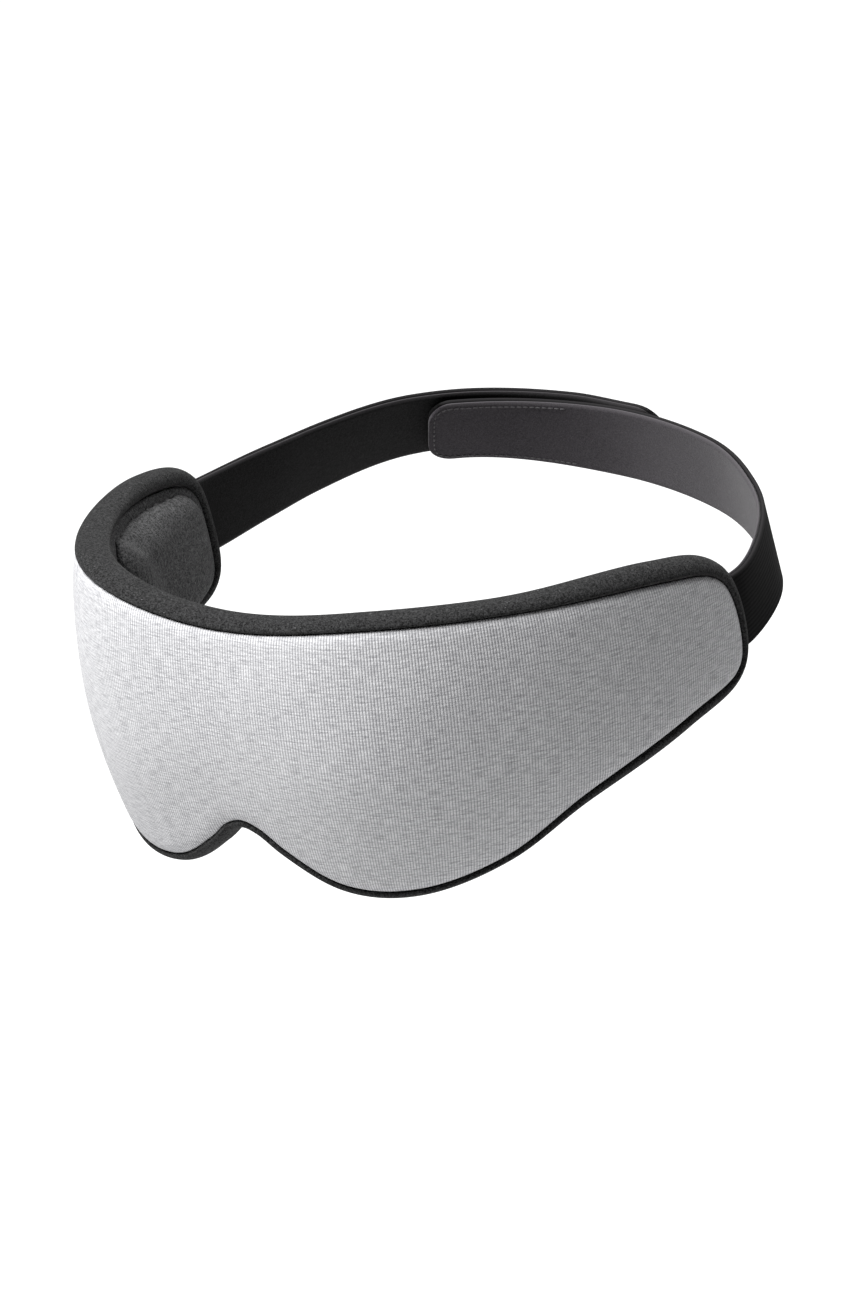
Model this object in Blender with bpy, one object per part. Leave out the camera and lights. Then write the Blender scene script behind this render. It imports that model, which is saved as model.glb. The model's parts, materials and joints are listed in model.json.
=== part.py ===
"""Soft eye mask on an adjustable head strap, shaped as it sits when worn.

The mask is a laminate that wraps round the front of the head: jersey face cloth, light-proof film,
foam with two eye hollows, lining, and an edge band all round. A strap is sewn into each wing. The
two straps meet behind the head, where a hook patch on the left strap's tab grips the loop pile on
the inside of the right strap.

Frame: +Z up, -Y the way the wearer looks, +X the wearer's left. The origin is the middle of the head
opening. Sizes are in millimetres and become metres when a mesh is made. A place on the mask is
(s, z, depth): s runs along the curved front from the nose to the left, z is the height, and depth is
measured from the outer face towards the head.
"""
import bmesh
import bpy
import numpy as np
from math import atan2, cos, hypot, pi, radians, sin, sqrt

MM = 0.001

# Mask outline at the front seam: s from the nose, height z
HALF_LENGTH = 141.0        # nose to the lower corner of a wing's end
NOSE_TOP = 30.0
BROW_AT, BROW_TOP = 41.0, 33.0
TEMPLE_AT, TEMPLE_TOP = 82.0, 31.2
WING_TOP = 23.0            # height of the wing's upper corner
WING_END_SLANT = 4.3       # how far the upper corner stops short of the lower one
WING_BOTTOM = -1.7         # height of the wing's lower corner
WING_TAPER = 20.0          # the wing's two edges reach their corners over this length
WING_TAPER_RISE = 4.6      # and close in on each other by this much on each side
UPPER_CORNER, LOWER_CORNER = 4.6, 3.2
CORNER_EASE = 0.6          # how far a corner's curve stands out of its two lines
LOBE_AT, LOBE_BOTTOM = 46.0, -33.0
CHEEK_AT, CHEEK_BOTTOM = 69.5, -27.3
JAW_AT, JAW_BOTTOM = 90.0, -16.2
NOTCH_TOP = -17.7          # top of the nose notch
NOTCH_CURVE_AT, NOTCH_CURVE = 4.6, -19.2
NOTCH_SIDE_AT, NOTCH_SIDE = 10.8, -24.2
NOTCH_FOOT_AT, NOTCH_FOOT = 24.0, -31.6

# How the front wraps round the head: bend is one over the radius
NOSE_BEND = -0.0015        # very slightly hollow at the nose
BROW_BEND_AT, BROW_BEND = 35.4, 0.0234
SIDE_BEND_AT, SIDE_BEND = 70.8, 0.0093
LEAN = -0.09               # depth gained for each millimetre of height
CROWN = 0.0041             # depth gained for each square millimetre away from the middle height
FRONT_Y = -100.0           # the nose of the mask, in front of the origin

# Layers from the outer face inwards
GAP = 0.3                  # clear space between neighbouring pieces
JERSEY = 0.8
FILM = 0.3
FOAM = 5.2                 # at the mask's edge
FOAM_SWELL = 3.4           # extra foam in the middle, on the inside
SWELL_SPREAD = 4           # the higher, the nearer to the edge the foam stays thick
LINING = 1.0
BAND_WALL = 1.2
BAND_BULGE = 2.3           # the band stands this far proud of the seam along the front
WING_BULGE = 3.6           # and this far at the ends of the wings
BULGE_FROM, BULGE_TO = 70.0, 115.0
SEAM_GAP = 0.15            # half of the space between a panel's edge and the band

# Eye hollows in the foam and the lining
EYE_AT, EYE_HEIGHT = 33.0, 1.0
EYE_HALF_WIDTH, EYE_HALF_HEIGHT = 28.0, 21.0
EYE_HOLLOW = 6.8

# Temple pads on the inside of the wings
PAD_FROM = 70.0            # front end of a pad
PAD_MARGIN = 2.4           # from a pad to the seam of the wing
PAD_CORNER = 4.0           # cut off each front corner of a pad
PAD_HEIGHT = 4.2
PAD_SPREAD, PAD_SHOULDER = 2.6, 0.6
PAD_CLOTH = 0.8
PAD_FOAM_INSET = 2.2       # from the cover's edge to the foam's

# Straps
STRAP_WIDTH = 19.0
ELASTIC = 1.0
PILE = 0.9                 # velour or loop face on the inside of the elastic
HOOK = 0.8
STRAP_HEIGHT = 11.5        # middle of the strap where it is sewn in
ANCHOR = 1.6               # thickness of the sewn strap end
ANCHOR_LENGTH = 15.0       # how far it reaches into the wing
ANCHOR_ROWS = 8.5          # between the two rows of stitches that hold it
HINGE_CLEAR = 1.5          # from the fold line to the end of each piece that meets there
STRAP_LOOP = (             # share of the way round, reach, rise and lean of the top inwards
    (0.104, 0.929, 1.3, 8.0),
    (0.253, 0.871, -0.7, 6.0),
    (0.401, 0.916, -1.2, 6.0),
    (0.555, 1.000, -0.8, 11.0),
    (0.709, 1.013, 2.6, 26.0),
    (0.857, 0.981, 2.6, 16.0),
)                          # reach: distance from the origin as a share of the fold lines' distance
TAB_END_SHARE = 0.742      # where the left strap ends
TAB_LENGTH = 36.0
TAB_CORNER = 6.0
HOOK_MARGIN = 2.5          # from the edge of the tab to the hook patch
OVERLAP = 62.0             # how far the right strap runs on behind the left one
SETTLE_LENGTH = 40.0       # over which the right strap moves out to pass behind the tab
CLOSE_LENGTH = 14.0        # over which it comes back in beyond the hook patch
BORDER_MARGIN = 2.0        # from the edge of the tab to its border stitching
THREAD = 0.4

# Mesh fineness
COLUMNS = 44               # cells along the mask
ROWS = 8                   # cells across it
BAND_STEPS = 6             # cells round the band's section
PAD_SIDES = 24
PAD_RINGS = 4
STRAP_STEP = 3.0
STRIP_STEPS = 6
CORNER_STEPS = 5

# Depths that follow from the layers
FILM_AT = JERSEY + GAP
FOAM_AT = FILM_AT + FILM + GAP
LINING_AT = FOAM_AT + FOAM + GAP
DEPTH = LINING_AT + LINING
PAD_AT = DEPTH + GAP
ANCHOR_AT = FOAM_AT
STITCH_AT = ANCHOR_AT + ANCHOR + GAP
POCKET_FLOOR = STITCH_AT + THREAD + GAP
HINGE_AT = HALF_LENGTH + WING_BULGE + HINGE_CLEAR + GAP
ANCHOR_MIDDLE = ANCHOR_AT + ANCHOR / 2
STRAP_STACK = PILE + GAP + ELASTIC
PASS_BEHIND = STRAP_STACK + GAP + HOOK + GAP


# ---------------------------------------------------------------- curves

def eased(share):
    """A share limited to 0 to 1 that starts and ends softly."""
    share = np.clip(share, 0.0, 1.0)
    return share * share * (3 - 2 * share)


def smooth_curve(points, per_span):
    """A smooth curve through the points, with centripetal spacing and per_span steps between them."""
    pts = np.array(points, dtype=float)
    pts = np.vstack([2 * pts[0] - pts[1], pts, 2 * pts[-1] - pts[-2]])
    out = []
    for i in range(1, len(pts) - 2):
        p0, p1, p2, p3 = pts[i - 1:i + 3]
        t1 = np.linalg.norm(p1 - p0) ** 0.5
        t2 = t1 + np.linalg.norm(p2 - p1) ** 0.5
        t3 = t2 + np.linalg.norm(p3 - p2) ** 0.5
        for t in np.linspace(t1, t2, per_span, endpoint=False):
            a1 = (t1 - t) / t1 * p0 + t / t1 * p1
            a2 = (t2 - t) / (t2 - t1) * p1 + (t - t1) / (t2 - t1) * p2
            a3 = (t3 - t) / (t3 - t2) * p2 + (t - t2) / (t3 - t2) * p3
            b1 = (t2 - t) / t2 * a1 + t / t2 * a2
            b2 = (t3 - t) / (t3 - t1) * a2 + (t - t1) / (t3 - t1) * a3
            out.append((t2 - t) / (t2 - t1) * b1 + (t - t1) / (t2 - t1) * b2)
    out.append(pts[-2])
    return np.array(out)


def arc_lengths(line):
    steps = np.linalg.norm(np.diff(line, axis=0), axis=1)
    return np.concatenate([[0.0], np.cumsum(steps)])


def resample(line, cells):
    """The same line with its points evenly spaced."""
    length = arc_lengths(line)
    at = np.linspace(0.0, length[-1], cells + 1)
    return np.column_stack([np.interp(at, length, column) for column in line.T])


def plan_table():
    """Position and heading along the front, every half millimetre from the nose."""
    s = np.arange(0.0, 1.5 * HALF_LENGTH, 0.5)
    bend = np.interp(s, [0.0, BROW_BEND_AT, SIDE_BEND_AT], [NOSE_BEND, BROW_BEND, SIDE_BEND])
    heading = np.concatenate([[0.0], np.cumsum((bend[1:] + bend[:-1]) / 2 * np.diff(s))])
    middle = (heading[1:] + heading[:-1]) / 2
    x = np.concatenate([[0.0], np.cumsum(np.cos(middle) * np.diff(s))])
    y = np.concatenate([[0.0], np.cumsum(np.sin(middle) * np.diff(s))])
    return s, x, y, heading


PLAN = plan_table()


def mask_point(s, z, depth):
    """World place, in millimetres, of a point at s along the front, z high and depth inwards."""
    table_s, table_x, table_y, table_heading = PLAN
    x = np.interp(abs(s), table_s, table_x)
    y = np.interp(abs(s), table_s, table_y)
    heading = np.interp(abs(s), table_s, table_heading)
    inwards = depth + LEAN * z + CROWN * z * z
    side = -1.0 if s < 0 else 1.0
    return np.array([side * (x - sin(heading) * inwards), FRONT_Y + y + cos(heading) * inwards, z])


def flat_point(s, up, depth):
    """Like mask_point, but straight across the strap's width, as a flat strap lies on the crowned cloth."""
    slope = LEAN + 2 * CROWN * STRAP_HEIGHT
    chord = CROWN * (STRAP_WIDTH / 2) ** 2
    return mask_point(s, STRAP_HEIGHT, depth + chord + slope * up) + (0.0, 0.0, up)


def half_outline():
    """The left half of the front seam: top run, end run and bottom run, from nose to nose."""
    upper_s = HALF_LENGTH - WING_END_SLANT
    before_nose = [(-BROW_AT, BROW_TOP)]
    top = [(0.0, NOSE_TOP), (BROW_AT, BROW_TOP), (TEMPLE_AT, TEMPLE_TOP),
           (upper_s - WING_TAPER, WING_TOP + WING_TAPER_RISE)]
    upper_corner = [(upper_s - UPPER_CORNER, WING_TOP + CORNER_EASE),
                    (upper_s + CORNER_EASE, WING_TOP - UPPER_CORNER)]
    lower_corner = [(HALF_LENGTH - CORNER_EASE, WING_BOTTOM + LOWER_CORNER),
                    (HALF_LENGTH - LOWER_CORNER, WING_BOTTOM - CORNER_EASE)]
    bottom = [(HALF_LENGTH - WING_TAPER, WING_BOTTOM - WING_TAPER_RISE), (JAW_AT, JAW_BOTTOM),
              (CHEEK_AT, CHEEK_BOTTOM), (LOBE_AT, LOBE_BOTTOM), (NOTCH_FOOT_AT, NOTCH_FOOT),
              (NOTCH_SIDE_AT, NOTCH_SIDE), (NOTCH_CURVE_AT, NOTCH_CURVE), (0.0, NOTCH_TOP)]
    after_notch = [(-NOTCH_CURVE_AT, NOTCH_CURVE)]
    points = before_nose + top + upper_corner + lower_corner + bottom + after_notch
    half_span = 6
    line = smooth_curve(points, 2 * half_span)
    nose = 2 * half_span
    upper = nose + len(top) * 2 * half_span + half_span
    lower = upper + len(upper_corner) * 2 * half_span
    notch = -2 * half_span
    return line[nose:upper + 1], line[upper:lower + 1], line[lower:notch]


def seam_loop():
    """The whole seam as one closed ring of points, and the grid's runs all in the same order."""
    top, end, bottom = half_outline()
    top = resample(top, COLUMNS // 2)
    end = resample(end, ROWS)
    bottom = resample(bottom, COLUMNS // 2)
    right = np.vstack([top[:-1], end[:-1], bottom])
    left = right[-2:0:-1] * [-1.0, 1.0]
    return np.vstack([right, left])


SEAM = seam_loop()
HALF_COLUMNS = COLUMNS // 2
TOP_RUN = SEAM[:HALF_COLUMNS + 1]
BOTTOM_RUN = SEAM[HALF_COLUMNS + ROWS:2 * HALF_COLUMNS + ROWS + 1][::-1]


def foam_swell(s, z):
    """How much further in the inner faces lie than at the edge: full in the middle, none at the seam."""
    top, bottom = (np.interp(abs(s), run[:, 0], run[:, 1]) for run in (TOP_RUN, BOTTOM_RUN))
    up = min(abs(2 * z - top - bottom) / (top - bottom), 1.0)
    out = min(abs(s) / HALF_LENGTH, 1.0)
    return FOAM_SWELL * (1 - up ** SWELL_SPREAD) * (1 - out ** SWELL_SPREAD)


def band_bulge():
    """How far the band stands proud of each point of the seam."""
    share = eased((np.abs(SEAM[:, 0]) - BULGE_FROM) / (BULGE_TO - BULGE_FROM))
    return BAND_BULGE + (WING_BULGE - BAND_BULGE) * share


def offset_seam(amount):
    """The seam moved outwards by amount, one number or one for each point, within the cloth's surface."""
    along = np.roll(SEAM, -1, axis=0) - np.roll(SEAM, 1, axis=0)
    along /= np.linalg.norm(along, axis=1)[:, None]
    outwards = np.column_stack([-along[:, 1], along[:, 0]])
    return SEAM + outwards * np.broadcast_to(amount, len(SEAM))[:, None]


def panel_grid(amount):
    """Rows and columns of (s, z) that fill the seam moved by amount: [column][row], row 0 on top."""
    ring = offset_seam(amount)
    upper_left, lower_left = HALF_COLUMNS, HALF_COLUMNS + ROWS
    lower_right = lower_left + COLUMNS
    upper_right = lower_right + ROWS
    top = np.vstack([ring[upper_right:], ring[:upper_left + 1]])
    left_end = ring[upper_left:lower_left + 1]
    bottom = ring[lower_left:lower_right + 1][::-1]
    right_end = ring[lower_right:upper_right + 1][::-1]
    grid = np.zeros((COLUMNS + 1, ROWS + 1, 2))
    for i in range(COLUMNS + 1):
        u = i / COLUMNS
        for j in range(ROWS + 1):
            v = j / ROWS
            across = (1 - v) * top[i] + v * bottom[i]
            along = (1 - u) * right_end[j] + u * left_end[j]
            corners = ((1 - u) * ((1 - v) * top[0] + v * bottom[0])
                       + u * ((1 - v) * top[-1] + v * bottom[-1]))
            grid[i, j] = across + along - corners
    return grid


# ---------------------------------------------------------------- objects

def cloth_material(name, colour, roughness):
    material = bpy.data.materials.new(name)
    material.use_nodes = True
    shader = material.node_tree.nodes["Principled BSDF"]
    shader.inputs["Base Color"].default_value = (*colour, 1.0)
    shader.inputs["Roughness"].default_value = roughness
    shader.inputs["Metallic"].default_value = 0.0
    return material


def add_piece(name, points, faces, colour, roughness=0.9, hinge=None):
    """One closed piece from points in millimetres; a moving piece takes its origin from its hinge."""
    origin = np.array(hinge.matrix_world.translation) / MM if hinge else np.zeros(3)
    mesh = bpy.data.meshes.new(name)
    mesh.from_pydata([tuple((p - origin) * MM) for p in points], [], faces)
    shape = bmesh.new()
    shape.from_mesh(mesh)
    bmesh.ops.recalc_face_normals(shape, faces=shape.faces)
    shape.to_mesh(mesh)
    shape.free()
    mesh.shade_smooth()
    mesh.set_sharp_from_angle(angle=radians(40.0))
    mesh.materials.append(cloth_material(name, colour, roughness))
    piece = bpy.data.objects.new(name, mesh)
    bpy.context.collection.objects.link(piece)
    piece.parent = hinge
    return piece


def add_hinge(name, place, parent=None):
    """An empty on a joint's axis."""
    hinge = bpy.data.objects.new(name, None)
    bpy.context.collection.objects.link(hinge)
    hinge.parent = parent
    start = np.array(parent.matrix_world.translation) / MM if parent else np.zeros(3)
    hinge.location = tuple((place - start) * MM)
    bpy.context.view_layer.update()
    return hinge


def join_rings(count, rings, closed=True):
    """Quads between neighbouring rings of count points; closed also joins the last ring to the first."""
    faces = []
    for r in range(rings if closed else rings - 1):
        a, b = r * count, (r + 1) % rings * count
        for i in range(count):
            j = (i + 1) % count
            faces.append((a + i, a + j, b + j, b + i))
    return faces


def bar_faces(rings):
    """Faces of a bar with four corners in each ring, closed at both ends."""
    return join_rings(4, rings, closed=False) + [(3, 2, 1, 0), tuple(range(4 * rings - 4, 4 * rings))]


def cut(piece, cutter):
    """Take the cutter's space out of the piece."""
    step = piece.modifiers.new("slot", "BOOLEAN")
    step.operation = "DIFFERENCE"
    step.solver = "EXACT"
    step.object = cutter


def rounded_line(corners, radius):
    """A line through the corners with each inner corner rounded to the radius."""
    corners = np.array(corners, dtype=float)
    line = [corners[0]]
    for before, corner, after in zip(corners, corners[1:], corners[2:]):
        came = (before - corner) / np.linalg.norm(before - corner)
        goes = (after - corner) / np.linalg.norm(after - corner)
        for t in np.linspace(0.0, 1.0, CORNER_STEPS + 1):
            line.append(corner + radius * ((1 - t) ** 2 * came + t ** 2 * goes))
    line.append(corners[-1])
    cells = [np.linspace(a, b, max(int(np.linalg.norm(b - a) / STRAP_STEP), 1) + 1)[:-1]
             for a, b in zip(line, line[1:])]
    return np.vstack([*cells, line[-1]])


def add_thread(name, line, place, colour, hinge=None):
    """A run of stitching as one bead along a line on a surface; place gives the world point."""
    way = np.gradient(line, axis=0)
    way /= np.linalg.norm(way, axis=1)[:, None]
    side = np.column_stack([-way[:, 1], way[:, 0]]) * THREAD / 2
    points = []
    for here, aside in zip(line, side):
        for sign, out in ((1, 0.0), (-1, 0.0), (-1, THREAD), (1, THREAD)):
            points.append(place(*(here + sign * aside), out))
    return add_piece(name, points, bar_faces(len(line)), colour, 0.8, hinge)


# ---------------------------------------------------------------- mask

def eye_hollow(s, z):
    """How far the inner faces dip towards the front at an eye."""
    across = (abs(s) - EYE_AT) / EYE_HALF_WIDTH
    up = (z - EYE_HEIGHT) / EYE_HALF_HEIGHT
    away = min(across * across + up * up, 1.0)
    return EYE_HOLLOW * (1 - away * away) ** 1.5


def add_panel(name, outer, inner, edge, colour, shaped="", edge_bulge=None):
    """A panel of the laminate between two depths; shaped names the faces that swell and dip at the eyes."""
    grid = panel_grid(edge)
    size = (COLUMNS + 1) * (ROWS + 1)
    index = np.arange(size).reshape(COLUMNS + 1, ROWS + 1)
    points = []
    for face, depth in (("outer", outer), ("inner", inner)):
        for s, z in grid.reshape(-1, 2):
            shape = foam_swell(s, z) - eye_hollow(s, z) if face in shaped else 0.0
            points.append(mask_point(s, z, depth + shape))
    faces = []
    for i in range(COLUMNS):
        for j in range(ROWS):
            a, b, c, d = index[i, j], index[i + 1, j], index[i + 1, j + 1], index[i, j + 1]
            faces.append((a, d, c, b))
            faces.append((size + a, size + b, size + c, size + d))
    rim = [*index[:-1, 0], *index[-1, :-1], *index[:0:-1, -1], *index[0, :0:-1]]
    outer_rim = rim
    if edge_bulge is not None:
        middle = (outer + inner) / 2
        bulged = panel_grid(edge + edge_bulge).reshape(-1, 2)
        start = len(points)
        points += [mask_point(*bulged[k], middle) for k in rim]
        middle_rim = list(range(start, start + len(rim)))
        faces += rim_faces(outer_rim, middle_rim)
        outer_rim = middle_rim
    faces += rim_faces(outer_rim, [size + k for k in rim])
    return add_piece(name, points, faces, colour)


def rim_faces(outer, inner):
    count = len(outer)
    return [(outer[k], outer[(k + 1) % count], inner[(k + 1) % count], inner[k]) for k in range(count)]


def band_section():
    """The band's open C section: (out from the seam for each of its points, depth), outer skin then inner."""
    turn = np.linspace(0.0, np.pi, BAND_STEPS + 1)
    half = DEPTH / 2
    bulge = band_bulge() - SEAM_GAP
    outer = [(SEAM_GAP + bulge * sin(t), half - half * cos(t)) for t in turn]
    inner = [(SEAM_GAP + (bulge - BAND_WALL) * sin(t), half - (half - BAND_WALL) * cos(t)) for t in turn]
    return outer + inner[::-1]


def add_edge_band():
    rings = [[mask_point(s, z, depth) for s, z in offset_seam(out)] for out, depth in band_section()]
    count = len(SEAM)
    points = [p for ring in rings for p in ring]
    return add_piece("edge_band", points, join_rings(count, len(rings)), (0.035, 0.035, 0.037))


def add_strip(name, side, start, end, half_width, outer, inner, colour):
    """A flat strip along a wing between two places and two depths, as wide as its half width says."""
    steps = np.linspace(start, end, STRIP_STEPS + 1)
    corners = ((half_width, outer), (-half_width, outer), (-half_width, inner), (half_width, inner))
    points = [flat_point(side * s, up, depth) for s in steps for up, depth in corners]
    return add_piece(name, points, bar_faces(len(steps)), colour)


def strap_slot(name, side, outer, floor):
    """A cutter for the space that a sewn strap end needs in a wing."""
    start, end = HALF_LENGTH - ANCHOR_LENGTH - GAP, HALF_LENGTH + 2 * WING_BULGE
    cutter = add_strip(name, side, start, end, STRAP_WIDTH / 2 + GAP, outer, floor, (1.0, 0.2, 0.2))
    cutter.hide_render = True
    cutter.display_type = "WIRE"
    return cutter


def pad_loop(amount):
    """A temple pad's outline on the left wing, moved outwards by amount."""
    ring = offset_seam(amount - PAD_MARGIN)
    wing = ring[:2 * HALF_COLUMNS + ROWS + 1]
    front = PAD_FROM - amount
    wing = wing[wing[:, 0] > front + PAD_CORNER]
    corners = [(front, wing[-1][1] + PAD_CORNER), (front, wing[0][1] - PAD_CORNER)]
    loop = np.vstack([wing, corners])
    line = np.vstack([loop, loop[:1]])
    return resample(line, PAD_SIDES)[:-1]


def pad_profile(ring):
    """Share of the full height at a share of the way from the middle to the edge, straight between rings."""
    rings = np.linspace(0.0, 1.0, PAD_RINGS + 1)
    return np.interp(ring, rings, (1 - rings ** PAD_SPREAD) ** PAD_SHOULDER)


def pad_points(side, loop, height, reach=1.0, sunk=0.0):
    """Rings of points over a pad's loop out to a share of it, sunk below a dome of the full height."""
    centre = (loop.max(axis=0) + loop.min(axis=0)) / 2
    points = []
    for ring in reach * np.linspace(1.0, 0.0, PAD_RINGS + 1)[:-1]:
        for s, z in centre + (loop - centre) * ring:
            lift = max(height * pad_profile(ring) - sunk, 0.0)
            points.append(mask_point(side * s, z, PAD_AT + foam_swell(s, z) + lift))
    top = PAD_AT + foam_swell(*centre) + max(height - sunk, 0.0)
    points.append(mask_point(side * centre[0], centre[1], top))
    return points


def dome_faces(start):
    """Faces over one dome of rings whose points begin at start."""
    faces = []
    for ring in range(PAD_RINGS - 1):
        a, b = start + ring * PAD_SIDES, start + (ring + 1) * PAD_SIDES
        faces += [(a + i, a + (i + 1) % PAD_SIDES, b + (i + 1) % PAD_SIDES, b + i) for i in range(PAD_SIDES)]
    last, tip = start + (PAD_RINGS - 1) * PAD_SIDES, start + PAD_RINGS * PAD_SIDES
    return faces + [(last + i, last + (i + 1) % PAD_SIDES, tip) for i in range(PAD_SIDES)]


def add_dome(name, under, over, colour):
    """A closed piece between two domes of the same rings."""
    count = len(under)
    wall = [(i, (i + 1) % PAD_SIDES, count + (i + 1) % PAD_SIDES, count + i) for i in range(PAD_SIDES)]
    return add_piece(name, under + over, dome_faces(0) + dome_faces(count) + wall, colour)


def add_temple_pad(word, side):
    """The foam of a temple pad and the cloth over it."""
    loop = pad_loop(0.0)
    reach = 1 - PAD_FOAM_INSET / np.ptp(loop, axis=0).min() * 2
    under = pad_points(side, loop, 0.0, reach)
    over = pad_points(side, loop, PAD_HEIGHT + GAP, reach, GAP)
    add_dome(word + "_temple_foam", under, over, (0.30, 0.30, 0.31))
    under = pad_points(side, loop, PAD_HEIGHT + GAP)
    over = pad_points(side, pad_loop(PAD_CLOTH), PAD_HEIGHT + GAP + PAD_CLOTH)
    add_dome(word + "_temple_cover", under, over, (0.05, 0.05, 0.053))


def add_anchor(word, side):
    """The strap end sewn into a wing, and the two rows of stitches that hold it."""
    add_strip(word + "_strap_anchor", side, HALF_LENGTH - ANCHOR_LENGTH, HINGE_AT - HINGE_CLEAR,
              STRAP_WIDTH / 2, ANCHOR_AT, ANCHOR_AT + ANCHOR, (0.012, 0.012, 0.013))
    near = HALF_LENGTH - ANCHOR_LENGTH + ANCHOR_ROWS + BORDER_MARGIN
    far = HALF_LENGTH - ANCHOR_LENGTH + BORDER_MARGIN
    half = STRAP_WIDTH / 2 - BORDER_MARGIN
    box = [(near, half), (far, half), (far, -half), (near, -half), (near, half - 2 * THREAD)]
    add_thread(word + "_anchor_stitching", rounded_line(box, THREAD),
               lambda s, up, out: flat_point(side * s, up, STITCH_AT + out), (0.03, 0.03, 0.03))


# ---------------------------------------------------------------- straps

def strap_table():
    """The middle line of the closed strap from the left fold line to the right one, with its lean."""
    fold_x, fold_y, _ = flat_point(HINGE_AT, 0.0, ANCHOR_MIDDLE)
    first, reach = atan2(fold_y, fold_x), hypot(fold_x, fold_y)
    loop = []
    for share, far, rise, lean in STRAP_LOOP:
        angle = first + share * (pi - 2 * first)
        loop.append((far * reach * cos(angle), far * reach * sin(angle), STRAP_HEIGHT + rise, lean))
    left = [(*flat_point(s, 0.0, ANCHOR_MIDDLE), 0.0) for s in (HINGE_AT - ANCHOR_LENGTH, HINGE_AT)]
    right = [(*flat_point(-s, 0.0, ANCHOR_MIDDLE), 0.0) for s in (HINGE_AT, HINGE_AT - ANCHOR_LENGTH)]
    per_span = 20
    line = smooth_curve(left + loop + right, per_span)[per_span:-per_span]
    heading = np.unwrap(np.arctan2(np.gradient(line[:, 1]), np.gradient(line[:, 0])))
    return arc_lengths(line[:, :3]), np.column_stack([line, heading])


STRAP_LINE = strap_table()
LOOP_LENGTH = STRAP_LINE[0][-1]
STRAP_ANGLE = np.unwrap(np.arctan2(STRAP_LINE[1][:, 1], STRAP_LINE[1][:, 0]))
TAB_END = float(np.interp(STRAP_ANGLE[0] + TAB_END_SHARE * (STRAP_ANGLE[-1] - STRAP_ANGLE[0]),
                          STRAP_ANGLE, STRAP_LINE[0]))
TAB_FOLD = TAB_END - TAB_LENGTH


def strap_point(along, across, out):
    """World place of a point of the strap: along its length, up across it, and out from its middle."""
    x, y, z, lean, heading = [np.interp(along, STRAP_LINE[0], column) for column in STRAP_LINE[1].T]
    outwards = np.array([sin(heading), -cos(heading), 0.0])
    up = np.array([0.0, 0.0, 1.0])
    lean = radians(lean)
    across_way = cos(lean) * up - sin(lean) * outwards
    out_way = cos(lean) * outwards + sin(lean) * up
    return np.array([x, y, z]) + across_way * across + out_way * out


def behind_tab(along):
    """How far the right strap stands out at a place, to pass behind the tab and the hook patch."""
    passing = eased((TAB_END + STRAP_STEP + SETTLE_LENGTH - along) / SETTLE_LENGTH)
    return PASS_BEHIND * passing - HOOK * eased((TAB_FOLD - along) / CLOSE_LENGTH)


def end_distances(corner):
    """Distances from a rounded end at which the strap's outline needs a point."""
    if not corner:
        return [0.0]
    return [corner * (1 - cos(radians(90.0 * k / CORNER_STEPS))) for k in range(CORNER_STEPS + 1)]


def strap_steps(start, end, start_corner, end_corner):
    first = [start + d for d in end_distances(start_corner)]
    last = [end - d for d in end_distances(end_corner)][::-1]
    cells = max(int((last[0] - first[-1]) / STRAP_STEP), 1)
    return first + list(np.linspace(first[-1], last[0], cells + 1)[1:-1]) + last


def add_layer(name, hinge, start, end, inner, outer, colour, margin=0.0, corners=(0.0, 0.0), settles=False):
    """One layer of a strap between two lengths and two distances out from its middle."""
    points = []
    steps = strap_steps(start, end, *corners)
    for along in steps:
        half = STRAP_WIDTH / 2 - margin
        for corner, away in zip(corners, (along - start, end - along)):
            if away < corner:
                half -= corner - sqrt(corner ** 2 - (corner - away) ** 2)
        shift = behind_tab(along) if settles else 0.0
        for across, out in ((half, outer), (-half, outer), (-half, inner), (half, inner)):
            points.append(strap_point(along, across, out + shift))
    return add_piece(name, points, bar_faces(len(steps)), colour, 0.8, hinge)


# ---------------------------------------------------------------- build

def build_straps():
    black, velour = (0.012, 0.012, 0.013), (0.052, 0.047, 0.053)
    inner = -STRAP_STACK / 2
    pile = inner + PILE
    elastic = pile + GAP
    outer = elastic + ELASTIC
    hook = outer + GAP
    left = add_hinge("left_strap_hinge", flat_point(HINGE_AT, 0.0, ANCHOR_MIDDLE))
    end = TAB_FOLD - HINGE_CLEAR
    add_layer("left_strap_velour", left, 0.0, end, inner, pile, velour)
    add_layer("left_strap_elastic", left, 0.0, end, elastic, outer, black)

    tab = add_hinge("tab_fold", strap_point(TAB_FOLD, 0.0, 0.0), left)
    rounded = (0.0, TAB_CORNER)
    add_layer("tab_velour", tab, TAB_FOLD, TAB_END, inner, pile, velour, corners=rounded)
    add_layer("tab_elastic", tab, TAB_FOLD, TAB_END, elastic, outer, black, corners=rounded)
    patch_corner = TAB_CORNER - HOOK_MARGIN
    add_layer("tab_hook_patch", tab, TAB_FOLD + HOOK_MARGIN, TAB_END - HOOK_MARGIN, hook, hook + HOOK,
              (0.02, 0.02, 0.02), margin=HOOK_MARGIN, corners=(patch_corner, patch_corner))
    half = STRAP_WIDTH / 2 - BORDER_MARGIN
    root, end = TAB_FOLD + BORDER_MARGIN, TAB_END - BORDER_MARGIN
    corners = [(root, half), (end, half), (end, -half), (root, -half)]
    border = rounded_line(corners, TAB_CORNER - BORDER_MARGIN)
    add_thread("tab_border_stitching", border,
               lambda along, across, out: strap_point(along, across, inner - GAP - out),
               (0.10, 0.095, 0.10), tab)

    right = add_hinge("right_strap_hinge", flat_point(-HINGE_AT, 0.0, ANCHOR_MIDDLE))
    start = TAB_END - OVERLAP
    rounded = (TAB_CORNER, 0.0)
    add_layer("right_strap_loop_pile", right, start, LOOP_LENGTH, inner, pile, velour, corners=rounded,
              settles=True)
    add_layer("right_strap_elastic", right, start, LOOP_LENGTH, elastic, outer, black, corners=rounded,
              settles=True)


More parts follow.
